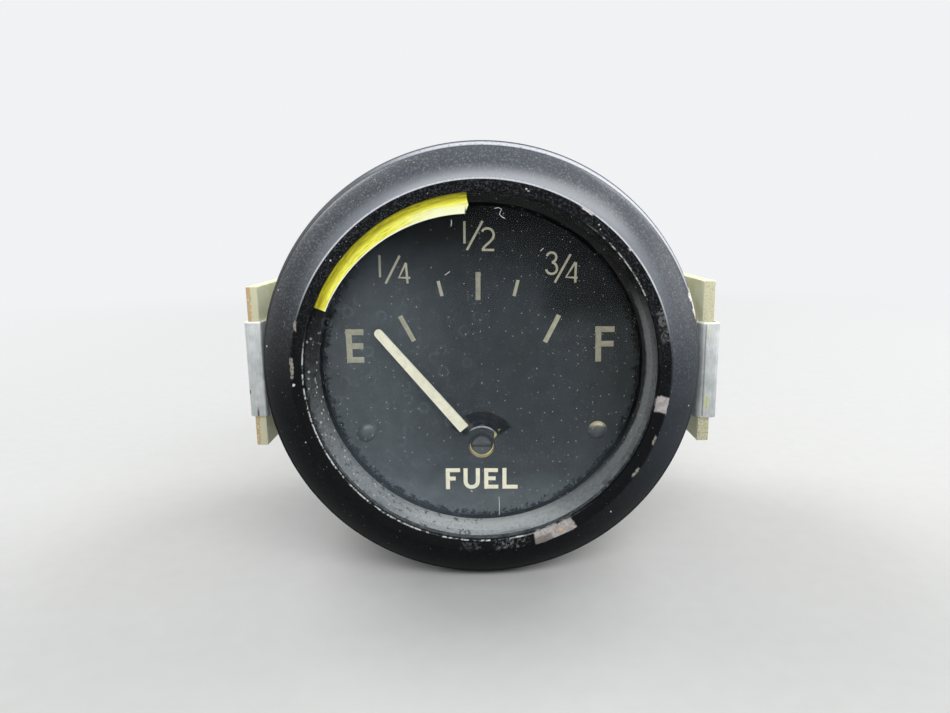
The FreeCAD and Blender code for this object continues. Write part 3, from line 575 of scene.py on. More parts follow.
# Painted shadow: the outer half, under the bezel's lip, is a deeper yellow.
lip_shadow_yellow = streaks.step(0.36, 0.62).blend((0.22, 0.19, 0.010, 1), (0.47, 0.44, 0.012, 1))
bright = streaks.step(0.36, 0.60).blend((0.56, 0.53, 0.020, 1), (0.86, 0.84, 0.13, 1))
inner_half = (y_radius + (streaks - 0.5) * 1.0).step(22.75, 22.25)
tone = inner_half.blend(lip_shadow_yellow, bright)
tone = (blotches.step(0.62, 0.75) * 0.4).blend(tone, (0.36, 0.35, 0.05, 1))
bare = (into_paint + (blotches - 0.5) * 0.2).step(0.17, 0.07)
tone = bare.blend(tone, (0.80, 0.80, 0.66, 1))
# Painted highlight: whiter patches near the top end.
top_highlight = (y_turn + (blotches - 0.5) * 16).step(-32.0, -12.0)
top_highlight = top_highlight * (into_paint + (streaks - 0.5) * 1.6).step(1.3, 0.6)
tone = (top_highlight * 0.9).blend(tone, (0.84, 0.86, 0.58, 1))
tone.feed(yellow_shader, "Base Color")
yellow_shader.inputs["Specular IOR Level"].default_value = 0.2
bump(streaks, 0.02, 0.6).feed(yellow_shader, "Normal")
range_arc.data.materials.append(yellow)
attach(range_arc, "case")


# The surround is the wall that steps down from the glass to the dial, painted dark grey. It is paler
# low down, with crumbs of old paint at the left, a strip of painted light at the right and painted
# shade at its foot.
wall_paint, wall_shader, wall_place = finish("surround_grey", (0.24, 0.26, 0.27), 0.5)
w_across, w_along, w_up = wall_place.split()
w_turn = axis_turn(w_across, w_up)
w_cloud = wall_place.noise(0.30, 5.0, 0.65)
w_lumps = wall_place.noise(1.1, 4.0, 0.6)
w_fine = wall_place.noise(3.0, 4.0, 0.65)
w_left = w_turn.step(-74.0, -100.0)
w_low = (w_up + w_across * 0.25).step(-6.0, -22.5)
w_bottom = (w_up + (w_lumps - 0.5) * 2.0).step(-18.5, -22.4)
w_grit = wall_place.noise(2.2, 6.0, 0.8)
# Painted light: a paler strip along the front of the wall at the right.
w_lit_strip = (w_along + (w_lumps - 0.5) * 0.8 - w_turn.step(100.0, 170.0) * 0.9).step(-1.4, -2.0)
w_painted_light = w_turn.step(58.0, 78.0) * w_turn.step(175.0, 95.0) * w_lit_strip
w_crumbs = wall_place.specks(1.5, 0.32, 0.45) * w_turn.step(-70.0, -82.0) * w_turn.step(-180.0, -150.0)
w_holes = (w_lumps + w_fine * 0.4).step(0.78, 0.84) * w_turn.step(-70.0, -85.0)
w_small = wall_place.specks(4.0, 0.28, 0.35)
tone = w_cloud.step(0.3, 0.7).blend((0.007, 0.007, 0.007, 1), (0.016, 0.016, 0.016, 1))
tone = covered(tone, [
    (w_painted_light, (0.25, 0.26, 0.265)),
    (w_left * (w_lumps.step(0.35, 0.6) * 0.7 + 0.1), (0.09, 0.095, 0.10)),
    (w_low * 0.9, (0.30, 0.32, 0.33)),
    (w_bottom * 0.85, (0.54, 0.56, 0.57)),
    (w_grit.step(0.54, 0.66) * (0.10 + w_low * 0.35), (0.62, 0.63, 0.62)),
    (w_grit.step(0.47, 0.36) * 0.55, (0.07, 0.07, 0.07)),
    # Painted shade: darker at the foot of the wall, by the dial.
    ((w_along + (w_grit - 0.5) * 2.0).step(-1.9, -1.0) * 0.30, (0.05, 0.05, 0.05)),
    (w_small * (0.12 + w_low * 0.5), (0.42, 0.42, 0.41)),
    (w_crumbs, (0.55, 0.55, 0.53)),
    (w_holes * 0.8, (0.05, 0.05, 0.05)),
])
tone.feed(wall_shader, "Base Color")
(0.45 + w_fine * 0.25).feed(wall_shader, "Roughness")
wall_shader.inputs["Specular IOR Level"].default_value = 0.15
bump(w_fine * 0.4 + w_crumbs * 0.8, 0.08).feed(wall_shader, "Normal")
dress("dial_surround", wall_paint)


# The dial is a black enamelled plate with a hole for the pivot and a curved slot for the pointer.
# Its marks and letters are printed in cream, which has gone khaki except for the word at the foot.
dial_paint, dial_shader, dial_place = finish("dial_black", (0.012, 0.014, 0.017), 0.42)
d_across, d_along, d_up = dial_place.split()
d_flat = combined(d_across, d_up)
d_cloud = d_flat.noise(0.12, 5.0, 0.6)
d_fine = d_flat.noise(3.5, 3.0, 0.6)
d_specks = d_flat.specks(1.3, 0.07, 0.12, True)
tone = d_cloud.step(0.35, 0.7).blend((0.004, 0.0045, 0.005, 1), (0.008, 0.0095, 0.011, 1))
d_radius = axis_distance(d_across, d_up)
d_smears = d_flat.noise(0.4, 5.0, 0.65)
# Dust and painted reflection: a grey-blue film, heavier at the left and low down. It fades out toward the
# top, which is left dark as painted shade under the bezel's lip.
dust_and_reflection_film = 0.22 + d_across.step(-2.0, -14.0) * 0.30
dust_and_reflection_film = dust_and_reflection_film + d_up.step(-9.0, -14.0) * 0.10 + d_up.step(-14.5, -19.5) * 0.55
dust_and_reflection_film = dust_and_reflection_film * (0.55 + d_smears * 0.9) * d_up.step(20.0, 4.0)
# Painted reflection: the film is thinner at the upper right, where the glass mirrors something dark.
dark_reflection_spot = (d_across + d_smears * 5).step(9.0, 13.0) * (d_up + d_smears * 5).step(7.5, 11.5)
dust_and_reflection_film = dust_and_reflection_film * (1.0 - dark_reflection_spot * 0.7)
d_lumps = d_flat.noise(1.0, 6.0, 0.75)
# Painted shade: a dark ring round the rim, where the dial meets the wall.
rim_shade_line = (d_radius + (d_lumps - 0.5) * 5.0).step(20.9, 21.5)
dust_and_reflection_film = dust_and_reflection_film * (1.0 - rim_shade_line * 0.95) * (0.75 + d_lumps * 0.5)
tone = covered(tone, [
    (dust_and_reflection_film, (0.11, 0.125, 0.135)),
    (d_specks, (0.22, 0.23, 0.23)),
    (d_flat.specks(0.6, 0.035, 0.10, True), (0.48, 0.27, 0.08)),
])


def brass_corner(across, up):
    """The triangle at the right end of the slot where the brass shows bright."""
    beside = across.step(1.70, 1.82) * up.step(-8.92, -9.04)
    return beside * (up - across * 1.10).step(-12.16, -12.04)


below_front = d_along.step(-0.83, -0.80)
cut_brass = below_front * d_up.step(-10.8, -11.2)
# Painted highlight: a grey-white glint on the lower edge of the slot.
slot_edge_glint = below_front * d_up.step(-9.6, -9.2) * abs(d_across).step(1.9, 1.3)
edge_tone = cut_brass.blend(tone, (0.80, 0.68, 0.34, 1))
edge_tone = slot_edge_glint.blend(edge_tone, (0.62, 0.64, 0.67, 1))
edge_tone = brass_corner(d_across, d_up).blend(edge_tone, (0.50, 0.42, 0.20, 1))
edge_tone.feed(dial_shader, "Base Color")
(0.34 + d_cloud * 0.2 + d_fine * 0.08).feed(dial_shader, "Roughness")
dial_shader.inputs["Specular IOR Level"].default_value = 0.07
bump(d_fine, 0.001).feed(dial_shader, "Normal")
dress("dial_plate", dial_paint)


def select_only(pieces):
    """Selects these pieces alone, and makes the first one active."""
    bpy.ops.object.select_all(action="DESELECT")
    for piece in pieces:
        piece.select_set(True)
    bpy.context.view_layer.objects.active = pieces[0]


dial_front = -0.85
print_height = 0.03


def printed(name, lines, width, material, front=dial_front):
    """Prints lines of points as strokes of a width, which stand a little above a plane."""
    strokes = []
    for number, line in enumerate(lines):
        points = [(x, front, z) for x, z in line]
        stroke = draw_path(name + "_stroke_" + str(number), points)
        bpy.ops.object.mode_set(mode="OBJECT")
        bpy.ops.object.convert(target="CURVE")
        stroke = bpy.context.object
        stroke.data.dimensions = "3D"
        stroke.data.bevel_depth = width / 2 * mm
        stroke.data.bevel_resolution = 3
        stroke.data.use_fill_caps = True
        bpy.ops.object.convert(target="MESH")
        strokes.append(settle(bpy.context.object))
    select_only(strokes)
    if len(strokes) > 1:
        bpy.ops.object.join()
    piece = bpy.context.object
    piece.name = name
    bpy.ops.object.mode_set(mode="EDIT")
    bpy.ops.mesh.select_all(action="SELECT")
    flattened = (1, print_height * 2 / width, 1)
    bpy.ops.transform.resize(value=flattened, center_override=Vector((0, front, 0)) * mm)
    settle(piece)
    piece.data.materials.append(material)
    bpy.ops.object.select_all(action="DESELECT")
    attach(piece, "case")


def mark_paint(name, fresh, worn):
    """Cream paint, mottled between two tones."""
    material, shader, place = finish(name, fresh, 0.55)
    mottle = place.noise(1.6, 4.0, 0.7)
    mottle.step(0.35, 0.65).blend((*worn, 1), (*fresh, 1)).feed(shader, "Base Color")
    bump(place.noise(6.0, 2.0), 0.01).feed(shader, "Normal")
    return material


khaki = mark_paint("khaki_print", (0.36, 0.35, 0.265), (0.29, 0.28, 0.21))
dim_khaki = mark_paint("dim_khaki_print", (0.27, 0.26, 0.20), (0.21, 0.20, 0.15))
cream = mark_paint("cream_print", (0.96, 0.92, 0.73), (0.88, 0.84, 0.66))
lint_white = mark_paint("lint_white", (0.62, 0.62, 0.62), (0.40, 0.41, 0.42))
letter_e = [
    [(-17.98, 5.50), (-17.92, 0.84)],
    [(-18.40, 5.09), (-15.93, 5.06)],
    [(-17.94, 3.16), (-16.02, 3.15)],
    [(-18.33, 1.25), (-15.97, 1.23)],
]
letter_f = [
    [(16.03, 5.49), (16.07, 0.61)],
    [(15.60, 5.08), (18.22, 5.06)],
    [(16.05, 3.08), (18.12, 3.06)],
]
quarter = [
    [(-13.34, 15.42), (-13.36, 12.49)],
    [(-10.64, 15.32), (-12.65, 11.64)],
    [(-9.84, 14.34), (-10.84, 12.41), (-9.30, 12.35)],
    [(-9.84, 14.34), (-9.69, 11.63)],
]
half = [
    [(-1.93, 19.71), (-1.95, 16.82)],
    [(0.48, 19.72), (-1.65, 15.94)],
    [(0.39, 18.34), (0.58, 18.60), (0.84, 18.72), (1.11, 18.75), (1.38, 18.70), (1.63, 18.56),
     (1.82, 18.34), (1.92, 18.06), (1.92, 17.75), (1.80, 17.42), (1.55, 17.12), (1.23, 16.83),
     (0.92, 16.57), (0.64, 16.28), (0.43, 15.96)],
    [(0.35, 15.94), (1.98, 15.90)],
]
three_quarters = [
    [(8.97, 15.01), (9.08, 15.22), (9.28, 15.40), (9.59, 15.48), (9.90, 15.41), (10.13, 15.20),
     (10.25, 14.90), (10.20, 14.58), (10.00, 14.32), (9.67, 14.17)],
    [(9.67, 14.17), (9.96, 14.08), (10.20, 13.85), (10.34, 13.52), (10.34, 13.18), (10.20, 12.88),
     (9.94, 12.69), (9.61, 12.63), (9.28, 12.72), (9.03, 12.93), (8.88, 13.25)],
    [(12.13, 15.21), (10.06, 11.47)],
    [(12.79, 14.16), (11.56, 12.18), (13.10, 12.08)],
    [(12.86, 14.13), (12.80, 11.43)],
]
word_fuel = [
    [(-4.86, -14.55), (-4.88, -17.65)],
    [(-5.12, -14.84), (-3.12, -14.85)],
    [(-4.85, -16.07), (-3.76, -16.08)],
    [(-2.34, -14.58), (-2.36, -16.55), (-2.28, -16.88), (-2.10, -17.15), (-1.82, -17.32), (-1.50, -17.37),
     (-1.17, -17.32), (-0.89, -17.15), (-0.70, -16.88), (-0.62, -16.55), (-0.60, -14.58)],
    [(0.58, -14.58), (0.57, -17.65)],
    [(0.32, -14.88), (2.23, -14.90)],
    [(0.57, -16.09), (1.90, -16.11)],
    [(0.31, -17.34), (2.27, -17.36)],
    [(3.16, -14.58), (3.14, -17.65)],
    [(2.88, -17.37), (5.01, -17.40)],
]
small_ticks = [[(-5.59, 11.89), (-5.10, 9.87)], [(5.14, 11.88), (4.59, 9.74)]]
long_ticks = [[(-10.86, 7.22), (-9.07, 3.76)], [(10.67, 7.08), (8.79, 3.40)]]
printed("print_empty", letter_e, 0.84, khaki)
printed("print_full", letter_f, 0.82, dim_khaki)
fraction_stroke = 0.32
printed("print_quarter", quarter, fraction_stroke, khaki)
printed("print_half", half, fraction_stroke, khaki)
printed("print_three_quarters", three_quarters, fraction_stroke, khaki)
printed("print_fuel", word_fuel, 0.60, cream)
printed("tick_half", [[(-0.21, 13.02), (-0.26, 9.26)]], 0.70, dim_khaki)
printed("ticks_small", small_ticks, 0.46, khaki)
printed("ticks_long", long_ticks, 0.66, khaki)


# Fibres of lint lie on the glass, and a fine scratch runs down it below the word. They are
# drawn as thin pale strokes, as the print on the dial is.
lint = [
    [(2.00, 21.25), (2.50, 21.35), (2.90, 21.15), (2.60, 20.55), (2.90, 20.20), (3.30, 20.00)],
    [(-3.50, 19.9), (-3.45, 19.5), (-3.55, 19.1)],
    [(7.80, 15.85), (8.20, 16.2)],
    [(-4.45, 12.95), (-3.80, 13.40)],
    [(2.28, -17.3), (2.32, -18.7), (2.28, -20.0)],
    [(-1.55, -16.35), (-1.35, -16.55)],
]
printed("lint", lint, 0.09, lint_white, -4.67)


# Two domed screws of dusty blackened steel hold the dial, the right one rubbed. The pivot's
# slotted screw sits low in the dial's hole. The brass bridge round it is painted dark, as grime and
# as the shade inside the hole, but for the lower rim of its collar and a corner by the slot, where light
# falls.
black_steel, black_shader, black_place = finish("black_steel", (0.018, 0.019, 0.02), 0.33, 0.3)
b_fine = black_place.noise(2.0, 4.0, 0.6)
b_across, _, b_up = black_place.split()
right_screw = (16.19, -9.20, 0)
from_screw = combined(b_across, b_up).gap(right_screw)
rubbed = from_screw.step(0.70, 1.15) * from_screw.step(1.6, 1.4) * b_up.step(-8.90, -8.20)
tone = (0.15 + b_fine * 0.7).blend((0.014, 0.016, 0.018, 1), (0.11, 0.12, 0.125, 1))
rubbed.blend(tone, (0.36, 0.31, 0.20, 1)).feed(black_shader, "Base Color")
(0.26 + b_fine * 0.2).feed(black_shader, "Roughness")
dress("dial_screws", black_steel)
dress("front_pivot_screw", black_steel)


def mottled(shader, cloud, first, second, full=0.7):
    """Colours a finish in clouds, from one tone to another."""
    cloud.step(0.3, full).blend((*first, 1), (*second, 1)).feed(shader, "Base Color")


brass, brass_shader, brass_place = finish("aged_brass", (0.50, 0.37, 0.15), 0.38, 0.9)
brass_cloud = brass_place.noise(0.5, 5.0, 0.6)
brass_fine = brass_place.noise(5.0, 3.0, 0.6)
mottled(brass_shader, brass_cloud, (0.38, 0.27, 0.11), (0.60, 0.46, 0.20))
(0.30 + brass_cloud * 0.2 + brass_fine * 0.1).feed(brass_shader, "Roughness")
bump(brass_fine, 0.01).feed(brass_shader, "Normal")
for node in ("bridge_posts", "dial_posts", "rear_plate", "frame_pillars"):
    dress(node, brass)
for node in ("rear_pivot_screw", "pointer_hub", "balance_arm", "balance_weight", "stud_spacers"):
    dress(node, brass)

dark_brass, dark_shader, dark_place = finish("dark_brass", (0.02, 0.018, 0.014), 0.5)
k_across, k_along, k_up = dark_place.split()
collar_middle = (0, -10.95, 0)
off_pivot = combined(k_across, k_up).gap(collar_middle)
# Bright brass only where light falls; the rest is painted dark as grime and as painted shade in the hole.
lit_lower_rim = off_pivot.step(1.60, 1.66) * k_up.step(-10.6, -11.0) * k_along.step(-0.40, -0.50)
grime_and_shade = dark_place.noise(1.5, 4.0, 0.6).step(0.3, 0.7)
grime_and_shade = grime_and_shade.blend((0.010, 0.009, 0.007, 1), (0.035, 0.030, 0.022, 1))
lit_brass = most(lit_lower_rim, brass_corner(k_across, k_up + (k_along + 0.85) * 0.27))
lit_brass.blend(grime_and_shade, (0.86, 0.76, 0.36, 1)).feed(dark_shader, "Base Color")
dark_shader.inputs["Specular IOR Level"].default_value = 0.2
dress("front_bridge", dark_brass)
dress("front_plate", dark_brass)


# The pointer is a flat bar of aluminium, painted cream on its front, whose foot is cranked back
# through the dial's slot to the staff.
pointer_paint, pointer_shader, pointer_place = finish("pointer_cream", (0.74, 0.73, 0.60), 0.5)
p_mottle = pointer_place.noise(1.0, 4.0, 0.65)
tone = p_mottle.step(0.3, 0.7).blend((0.76, 0.74, 0.58, 1), (0.88, 0.86, 0.70, 1))
bare_foot = pointer_place.split()[1].step(-1.95, -1.85)
bare_foot.blend(tone, (0.05, 0.035, 0.025, 1)).feed(pointer_shader, "Base Color")
bump(pointer_place.noise(4.0, 3.0), 0.01).feed(pointer_shader, "Normal")
dress("pointer", pointer_paint)


# The movement inside the sealed can: steel staff and pins, iron cores and yoke, copper windings
# on brown bobbins, and an aluminium vane in its cup.
steel, steel_shader, steel_place = finish("plated_steel", (0.56, 0.56, 0.55), 0.32, 1.0)
s_cloud = steel_place.noise(0.6, 5.0, 0.6)
s_fine = steel_place.noise(5.0, 3.0, 0.65)
mottled(steel_shader, s_cloud, (0.42, 0.42, 0.41), (0.62, 0.62, 0.61), 0.75)
(0.24 + s_cloud * 0.2 + s_fine * 0.12).feed(steel_shader, "Roughness")
bump(s_fine, 0.01).feed(steel_shader, "Normal")
for node in ("pointer_staff", "stop_pins", "resistor_leads"):
    dress(node, steel)

iron, iron_shader, iron_place = finish("soft_iron", (0.16, 0.16, 0.165), 0.5, 0.9)
i_cloud = iron_place.noise(0.8, 4.0, 0.6)
mottled(iron_shader, i_cloud, (0.10, 0.10, 0.105), (0.22, 0.215, 0.21))
for node in ("armature", "pole_cores", "coil_yoke"):
    dress(node, iron)

aluminium, aluminium_shader, aluminium_place = finish("aluminium", (0.70, 0.70, 0.71), 0.35, 1.0)
(0.28 + aluminium_place.noise(2.0, 4.0) * 0.2).feed(aluminium_shader, "Roughness")
for node in ("damping_vane", "damping_cup"):
    dress(node, aluminium)

moulding, moulding_shader, moulding_place = finish("bobbin_moulding", (0.10, 0.055, 0.03), 0.45)
m_cloud = moulding_place.noise(1.0, 4.0, 0.6)
mottled(moulding_shader, m_cloud, (0.07, 0.036, 0.02), (0.13, 0.075, 0.04))
dress("coil_bobbins", moulding)

copper, copper_shader, copper_place = finish("copper_wire", (0.46, 0.17, 0.07), 0.3, 0.8)
turns = copper_place.noise(4.0, 2.0)
mottled(copper_shader, turns, (0.36, 0.12, 0.05), (0.55, 0.23, 0.10))
bump(turns, 0.05).feed(copper_shader, "Normal")
dress("coil_windings", copper)

ceramic, ceramic_shader, ceramic_place = finish("ceramic", (0.62, 0.60, 0.52), 0.4)
c_cloud = ceramic_place.noise(1.2, 3.0)
mottled(ceramic_shader, c_cloud, (0.55, 0.53, 0.45), (0.68, 0.66, 0.58))
dress("calibration_resistor", ceramic)

rubber, rubber_shader, rubber_place = finish("gasket_rubber", (0.02, 0.02, 0.02), 0.7)
r_fine = rubber_place.noise(3.0, 4.0)
mottled(rubber_shader, r_fine, (0.014, 0.014, 0.014), (0.03, 0.03, 0.03))
dress("lens_gasket", rubber)


# The can is drawn steel, painted black, with rubbed patches round its back edge and scuffs
# along its side where it has been slid in and out of a panel.
can_paint, can_shader, can_place = finish("case_black", (0.014, 0.014, 0.016), 0.42)
c_across, c_along, c_up = can_place.split()
c_radius = axis_distance(c_across, c_up)
c_cloud = can_place.noise(0.15, 6.0, 0.6)
c_fine = can_place.noise(2.0, 5.0, 0.65)
stretched = combined(c_across * 2.2, c_along * 0.12, c_up * 2.2)
scuffs = stretched.noise(1.0, 4.0, 0.7).step(0.64, 0.70) * c_cloud.step(0.42, 0.60)
shoulder = c_along.step(34.8, 35.5) * c_radius.step(24.8, 25.3)
shoulder = shoulder * (c_fine * 0.6 + c_cloud * 0.6).step(0.66, 0.76)
tone = c_cloud.step(0.3, 0.7).blend((0.010, 0.010, 0.012, 1), (0.026, 0.027, 0.030, 1))
tone = covered(tone, [
    (scuffs * 0.55, (0.14, 0.14, 0.14)),
    (shoulder * 0.8, (0.30, 0.29, 0.27)),
    (can_place.specks(1.4, 0.15, 0.12), (0.30, 0.30, 0.29)),
])
tone.feed(can_shader, "Base Color")
(0.34 + c_cloud * 0.2 + c_fine * 0.12 + scuffs * 0.1).feed(can_shader, "Roughness")
bump(c_fine * 0.5 - scuffs * 0.4, 0.03).feed(can_shader, "Normal")
dress("case_can", can_paint)
dress("case_flange", can_paint)


# The clamp studs and the terminals are threaded rods, turned from outlines whose notches are the
# thread. The studs are plated steel and the terminals brass with wide flat heads inside the can.
def threaded_pair(name, outline, x, z, material, node):
    """One piece of two like rods, left and right, in place of a packed one."""
    pair = []
    for ending, side in (("", -1), ("_right", 1)):
        rod = turned(name + ending, outline, 48, (x * side, z))
        pair.append(settle(rod, 30))
    select_only(pair)
    bpy.ops.object.join()
    joined = bpy.context.object
    joined.data.materials.append(material)
    bpy.ops.object.select_all(action="DESELECT")
    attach(joined, "case")
    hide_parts(node)


def notches(crest_radius, root_radius, start, end, pitch):
    """The outline of a thread, from one end to the other: a flat crest and a notch for each turn."""
    points = []
    while start + pitch < end:
        points += [(crest_radius, start), (crest_radius, start + pitch * 0.2)]
        points.append((root_radius, start + pitch * 0.6))
        start += pitch
    return points


stud_outline = [(0, 16.2), (2.4, 16.2)] + notches(2.4, 2.05, 42.8, 55.8, 0.79)
stud_outline += [(2.4, 55.5), (2.0, 56.0), (0, 56.0)]
threaded_pair("stud_rods", stud_outline, 14.0, 0, steel, "clamp_studs")
rod_outline = [(0, 31.7), (3.0, 31.7), (3.2, 31.9), (3.2, 33.5), (3.0, 33.7), (2.05, 33.7)]
rod_outline += notches(2.05, 1.75, 42.0, 47.8, 0.7) + [(2.05, 47.55), (1.65, 48.0), (0, 48.0)]
threaded_pair("terminal_rods", rod_outline, 12.193, -15.6, brass, "terminal_studs")


# Behind the can: plated washers and nuts, knurled brass nuts, and bushes of red-brown fibre.
fibre, fibre_shader, fibre_place = finish("insulator_fibre", (0.13, 0.04, 0.028), 0.6)
f_cloud = fibre_place.noise(1.5, 5.0, 0.65)
mottled(fibre_shader, f_cloud, (0.09, 0.028, 0.02), (0.18, 0.06, 0.04))
bump(f_cloud, 0.03).feed(fibre_shader, "Normal")
for node in ("terminal_inner_insulators", "terminal_outer_insulators"):
    dress(node, fibre)
for node in ("case_lock_washers", "case_nuts", "terminal_base_nuts", "terminal_lock_washers"):
    dress(node, steel)
for node in ("terminal_top_nuts", "strap_washers"):
    dress(node, steel)
for node in ("left_clamp_nut", "right_clamp_nut"):
    dress(node, brass)


# The clamp strap is bent from steel sheet with a yellow zinc plate, golden on its outer faces and
# orange to tan on the sheared front edges. Its inner faces are greenish, and paler as painted light.
zinc, zinc_shader, zinc_place = finish("plated_strap", (0.62, 0.62, 0.44), 0.42, 0.25)
z_across, z_along, z_up = zinc_place.split()
z_cloud = zinc_place.noise(0.25, 5.0, 0.6)
z_fine = zinc_place.noise(3.0, 4.0, 0.65)
z_grit = zinc_place.noise(8.0, 3.0, 0.7)
# Painted light: the inner faces are paler and less metallic than the golden outer faces.
tone = z_cloud.step(0.3, 0.7).blend((0.70, 0.70, 0.40, 1), (0.82, 0.85, 0.62, 1))
tone = (z_grit.step(0.52, 0.66) * 0.5).blend(tone, (0.90, 0.90, 0.74, 1))
off_middle = abs(z_across)
outside = most(off_middle.step(31.9, 32.05), z_along.step(41.6, 41.9))
drawn = combined(z_across * 0.4, z_along * 0.4, z_up * 6.0).noise(1.0, 5.0, 0.75)
golden = (z_cloud * 0.5 + drawn * 0.5).step(0.36, 0.62)
golden = golden.blend((0.34, 0.30, 0.14, 1), (0.62, 0.52, 0.27, 1))
tone = (outside * 0.92).blend(tone, golden)
tone = (z_fine.step(0.44, 0.30) * 0.5).blend(tone, (0.50, 0.52, 0.28, 1))
arris = off_middle.step(30.80, 30.66) * z_along.step(1.1, 0.9)
tone = (arris * z_fine.step(0.35, 0.55)).blend(tone, (0.86, 0.86, 0.78, 1))
sheared = z_along.step(0.74, 0.67)
outer_side = off_middle.step(31.2, 31.7) * z_across.step(10.0, 0.0)
worn_orange = (z_fine + outer_side * 0.22).step(0.62, 0.70)
edge_tone = worn_orange.blend((0.56, 0.55, 0.38, 1), (0.50, 0.33, 0.17, 1))
brown = (z_grit * 0.6 + z_fine * 0.4).step(0.46, 0.60) * z_across.step(0.0, 10.0)
brown = brown * (0.45 + z_up.step(4.0, -9.0) * 0.5)
edge_tone = brown.blend(edge_tone, (0.27, 0.21, 0.11, 1))
sheared.blend(tone, edge_tone).feed(zinc_shader, "Base Color")
(0.25 + outside * 0.65).feed(zinc_shader, "Metallic")
(0.30 + z_cloud * 0.14 + z_grit * 0.10 + outside * (drawn - 0.5) * 0.5).feed(zinc_shader, "Roughness")
bump(z_fine * 0.6 + z_grit * 0.4, 0.03).feed(zinc_shader, "Normal")
select_only([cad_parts["mounting_strap"]])
bpy.ops.object.duplicate()
strap_sheet = bpy.context.object
strap_sheet.name = "strap_sheet"
bpy.ops.object.mode_set(mode="EDIT")
bpy.ops.mesh.select_all(action="SELECT")
bpy.ops.mesh.remove_doubles(threshold=same_point)
bpy.ops.mesh.dissolve_limited(angle_limit=math.radians(1))
bpy.ops.mesh.normals_make_consistent(inside=False)


def top_of_right_leg(end):
    """The outer edge along the top of the right leg, which is rounder than the others."""
    return end.x > 31.9 and end.z > 11.2 and end.y < 30


choose_edges(strap_sheet, top_of_right_leg)
bpy.ops.mesh.bevel(offset=0.6 * mm, segments=4, profile=0.5)
bpy.ops.object.mode_set(mode="OBJECT")
sharp = {"limit_method": "ANGLE", "angle_limit": math.radians(50)}
modify(strap_sheet, "BEVEL", width=0.16 * mm, segments=3, **sharp)
bpy.ops.object.shade_smooth_by_angle(angle=math.radians(40))
strap_sheet.material_slots[0].material = zinc
bpy.ops.object.select_all(action="DESELECT")
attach(strap_sheet, "strap")
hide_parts("mounting_strap")


# A clip of thin folded sheet is pushed over the front edge of each leg, to keep the strap from
# scoring the panel. It is dull plated spring steel, and the right one is creased along its front.
# The crease is drawn as a line of painted shade, and a painted highlight runs along the top edges.
clip_metal, clip_shader, clip_place = finish("clip_zinc", (0.56, 0.58, 0.58), 0.36, 0.7)
q_across, q_along, q_up = clip_place.split()
q_cloud = clip_place.noise(0.5, 5.0, 0.6)
q_fine = clip_place.noise(4.0, 4.0, 0.65)
brushed = combined(q_across * 5.0, q_along, q_up * 0.5).noise(1.0, 4.0, 0.7)


def mark_at(x, z, half_width, half_height):
    """A soft-edged mark on a clip's front."""
    far_across = abs(q_across - x + (q_fine - 0.5) * 0.2)
    far_up = abs(q_up - z)
    beside = far_across.step(half_width + 0.08, half_width - 0.08)
    return beside * far_up.step(half_height + 0.1, half_height - 0.1) * q_along.step(1.2, 0.9)


tone = (q_cloud * 0.6 + brushed * 0.4).step(0.35, 0.65).blend((0.42, 0.45, 0.46, 1), (0.62, 0.64, 0.63, 1))
tone = (q_fine.step(0.60, 0.72) * 0.5).blend(tone, (0.36, 0.37, 0.36, 1))
notch = mark_at(-31.42, -6.1, 0.14, 0.8) * q_up.step(-5.2, -6.4)
tone = covered(tone, [
    (notch, (0.13, 0.11, 0.085)),
    (mark_at(-32.50, -3.4, 0.20, 0.30) * q_along.step(0.55, 0.40), (0.06, 0.06, 0.06)),
    # Painted shade: the dark line of the right clip's crease.
    (mark_at(30.95, -1.0, 0.10, 6.6) * 0.75, (0.16, 0.16, 0.16)),
    (mark_at(31.46, -5.6, 0.12, 0.85), (0.55, 0.60, 0.08)),
    (mark_at(31.45, 4.2, 0.10, 1.0) * 0.6, (0.60, 0.62, 0.25)),
])
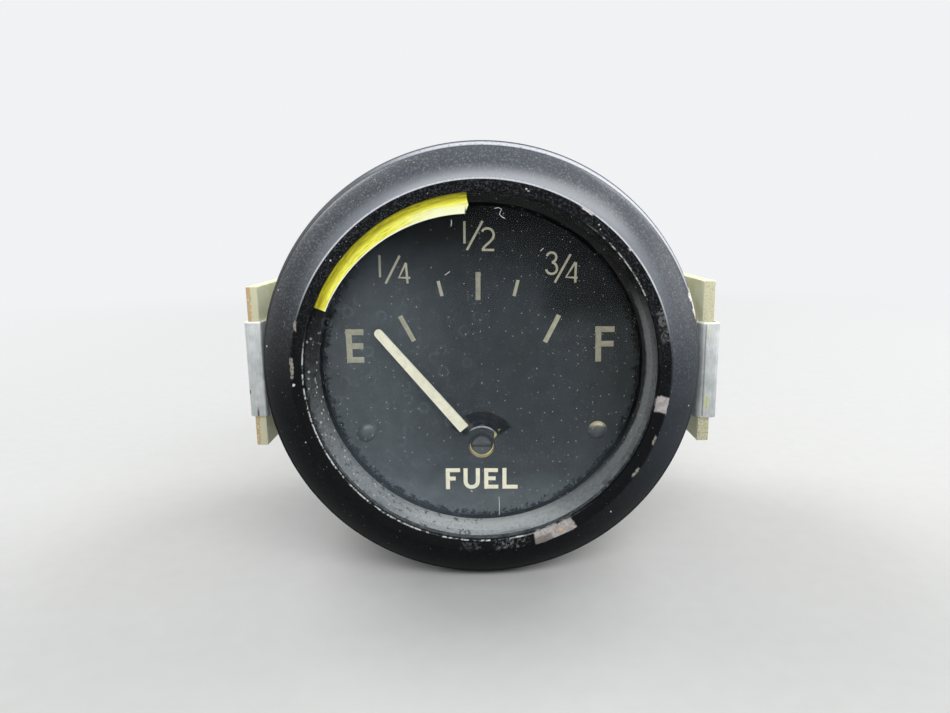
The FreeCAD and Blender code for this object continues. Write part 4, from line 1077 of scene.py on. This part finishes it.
# Painted highlight: a pale line along the top edge of each clip.
top_edge_highlight = most(q_up.step(6.25, 6.4), q_across.step(0.0, 1.0) * q_up.step(5.35, 5.5))
tone = top_edge_highlight.blend(tone, (0.85, 0.86, 0.80, 1))
tone.feed(clip_shader, "Base Color")
(0.30 + q_cloud * 0.14 + q_fine * 0.12).feed(clip_shader, "Roughness")
bump(q_fine * 0.6 + brushed * 0.4, 0.03).feed(clip_shader, "Normal")


def folded_clip(name, section, low, high, material):
    """A bent sheet: a line in the plane of X and Y drawn up along Z and thickened."""
    piece = draw_path(name, [(x, y, low) for x, y in section])
    bpy.ops.mesh.select_all(action="SELECT")
    bpy.ops.mesh.extrude_region_move(TRANSFORM_OT_translate={"value": (0, 0, (high - low) * mm)})
    bpy.ops.mesh.select_all(action="SELECT")
    bpy.ops.mesh.normals_make_consistent(inside=False)
    settle(piece)
    modify(piece, "SOLIDIFY", thickness=0.46 * mm, offset=0)
    modify(piece, "BEVEL", width=0.10 * mm, segments=2, **sharp)
    bpy.ops.object.shade_smooth_by_angle(angle=math.radians(40))
    piece.data.materials.append(material)
    bpy.ops.object.select_all(action="DESELECT")
    return piece


def bend(centre, radius, start, end, steps=6):
    """Points of an arc in the plane of X and Y, between two angles from +X toward +Y."""
    turns = [math.radians(start + (end - start) * step / steps) for step in range(steps + 1)]
    return [(centre[0] + radius * math.cos(turn), centre[1] + radius * math.sin(turn)) for turn in turns]


left_section = [(-30.20, 7.9)] + bend((-30.62, 0.82), 0.42, 0, -90) + bend((-31.98, 0.82), 0.42, -90, -180)
left_section.append((-32.42, 7.9))
left_clip = folded_clip("left_clip_sheet", left_section, -6.93, 6.53, clip_metal)
right_section = [(30.16, 7.9), (30.14, 1.0), (30.42, 0.66), (30.80, 0.50), (30.98, 0.40)]
right_section += bend((32.30, 0.82), 0.42, -90, 0) + [(32.80, 7.9)]
right_clip = folded_clip("right_clip_sheet", right_section, -7.83, 5.63, clip_metal)
for piece, node in ((left_clip, "left_edge_clip"), (right_clip, "right_edge_clip")):
    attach(piece, "strap")
    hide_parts(node)
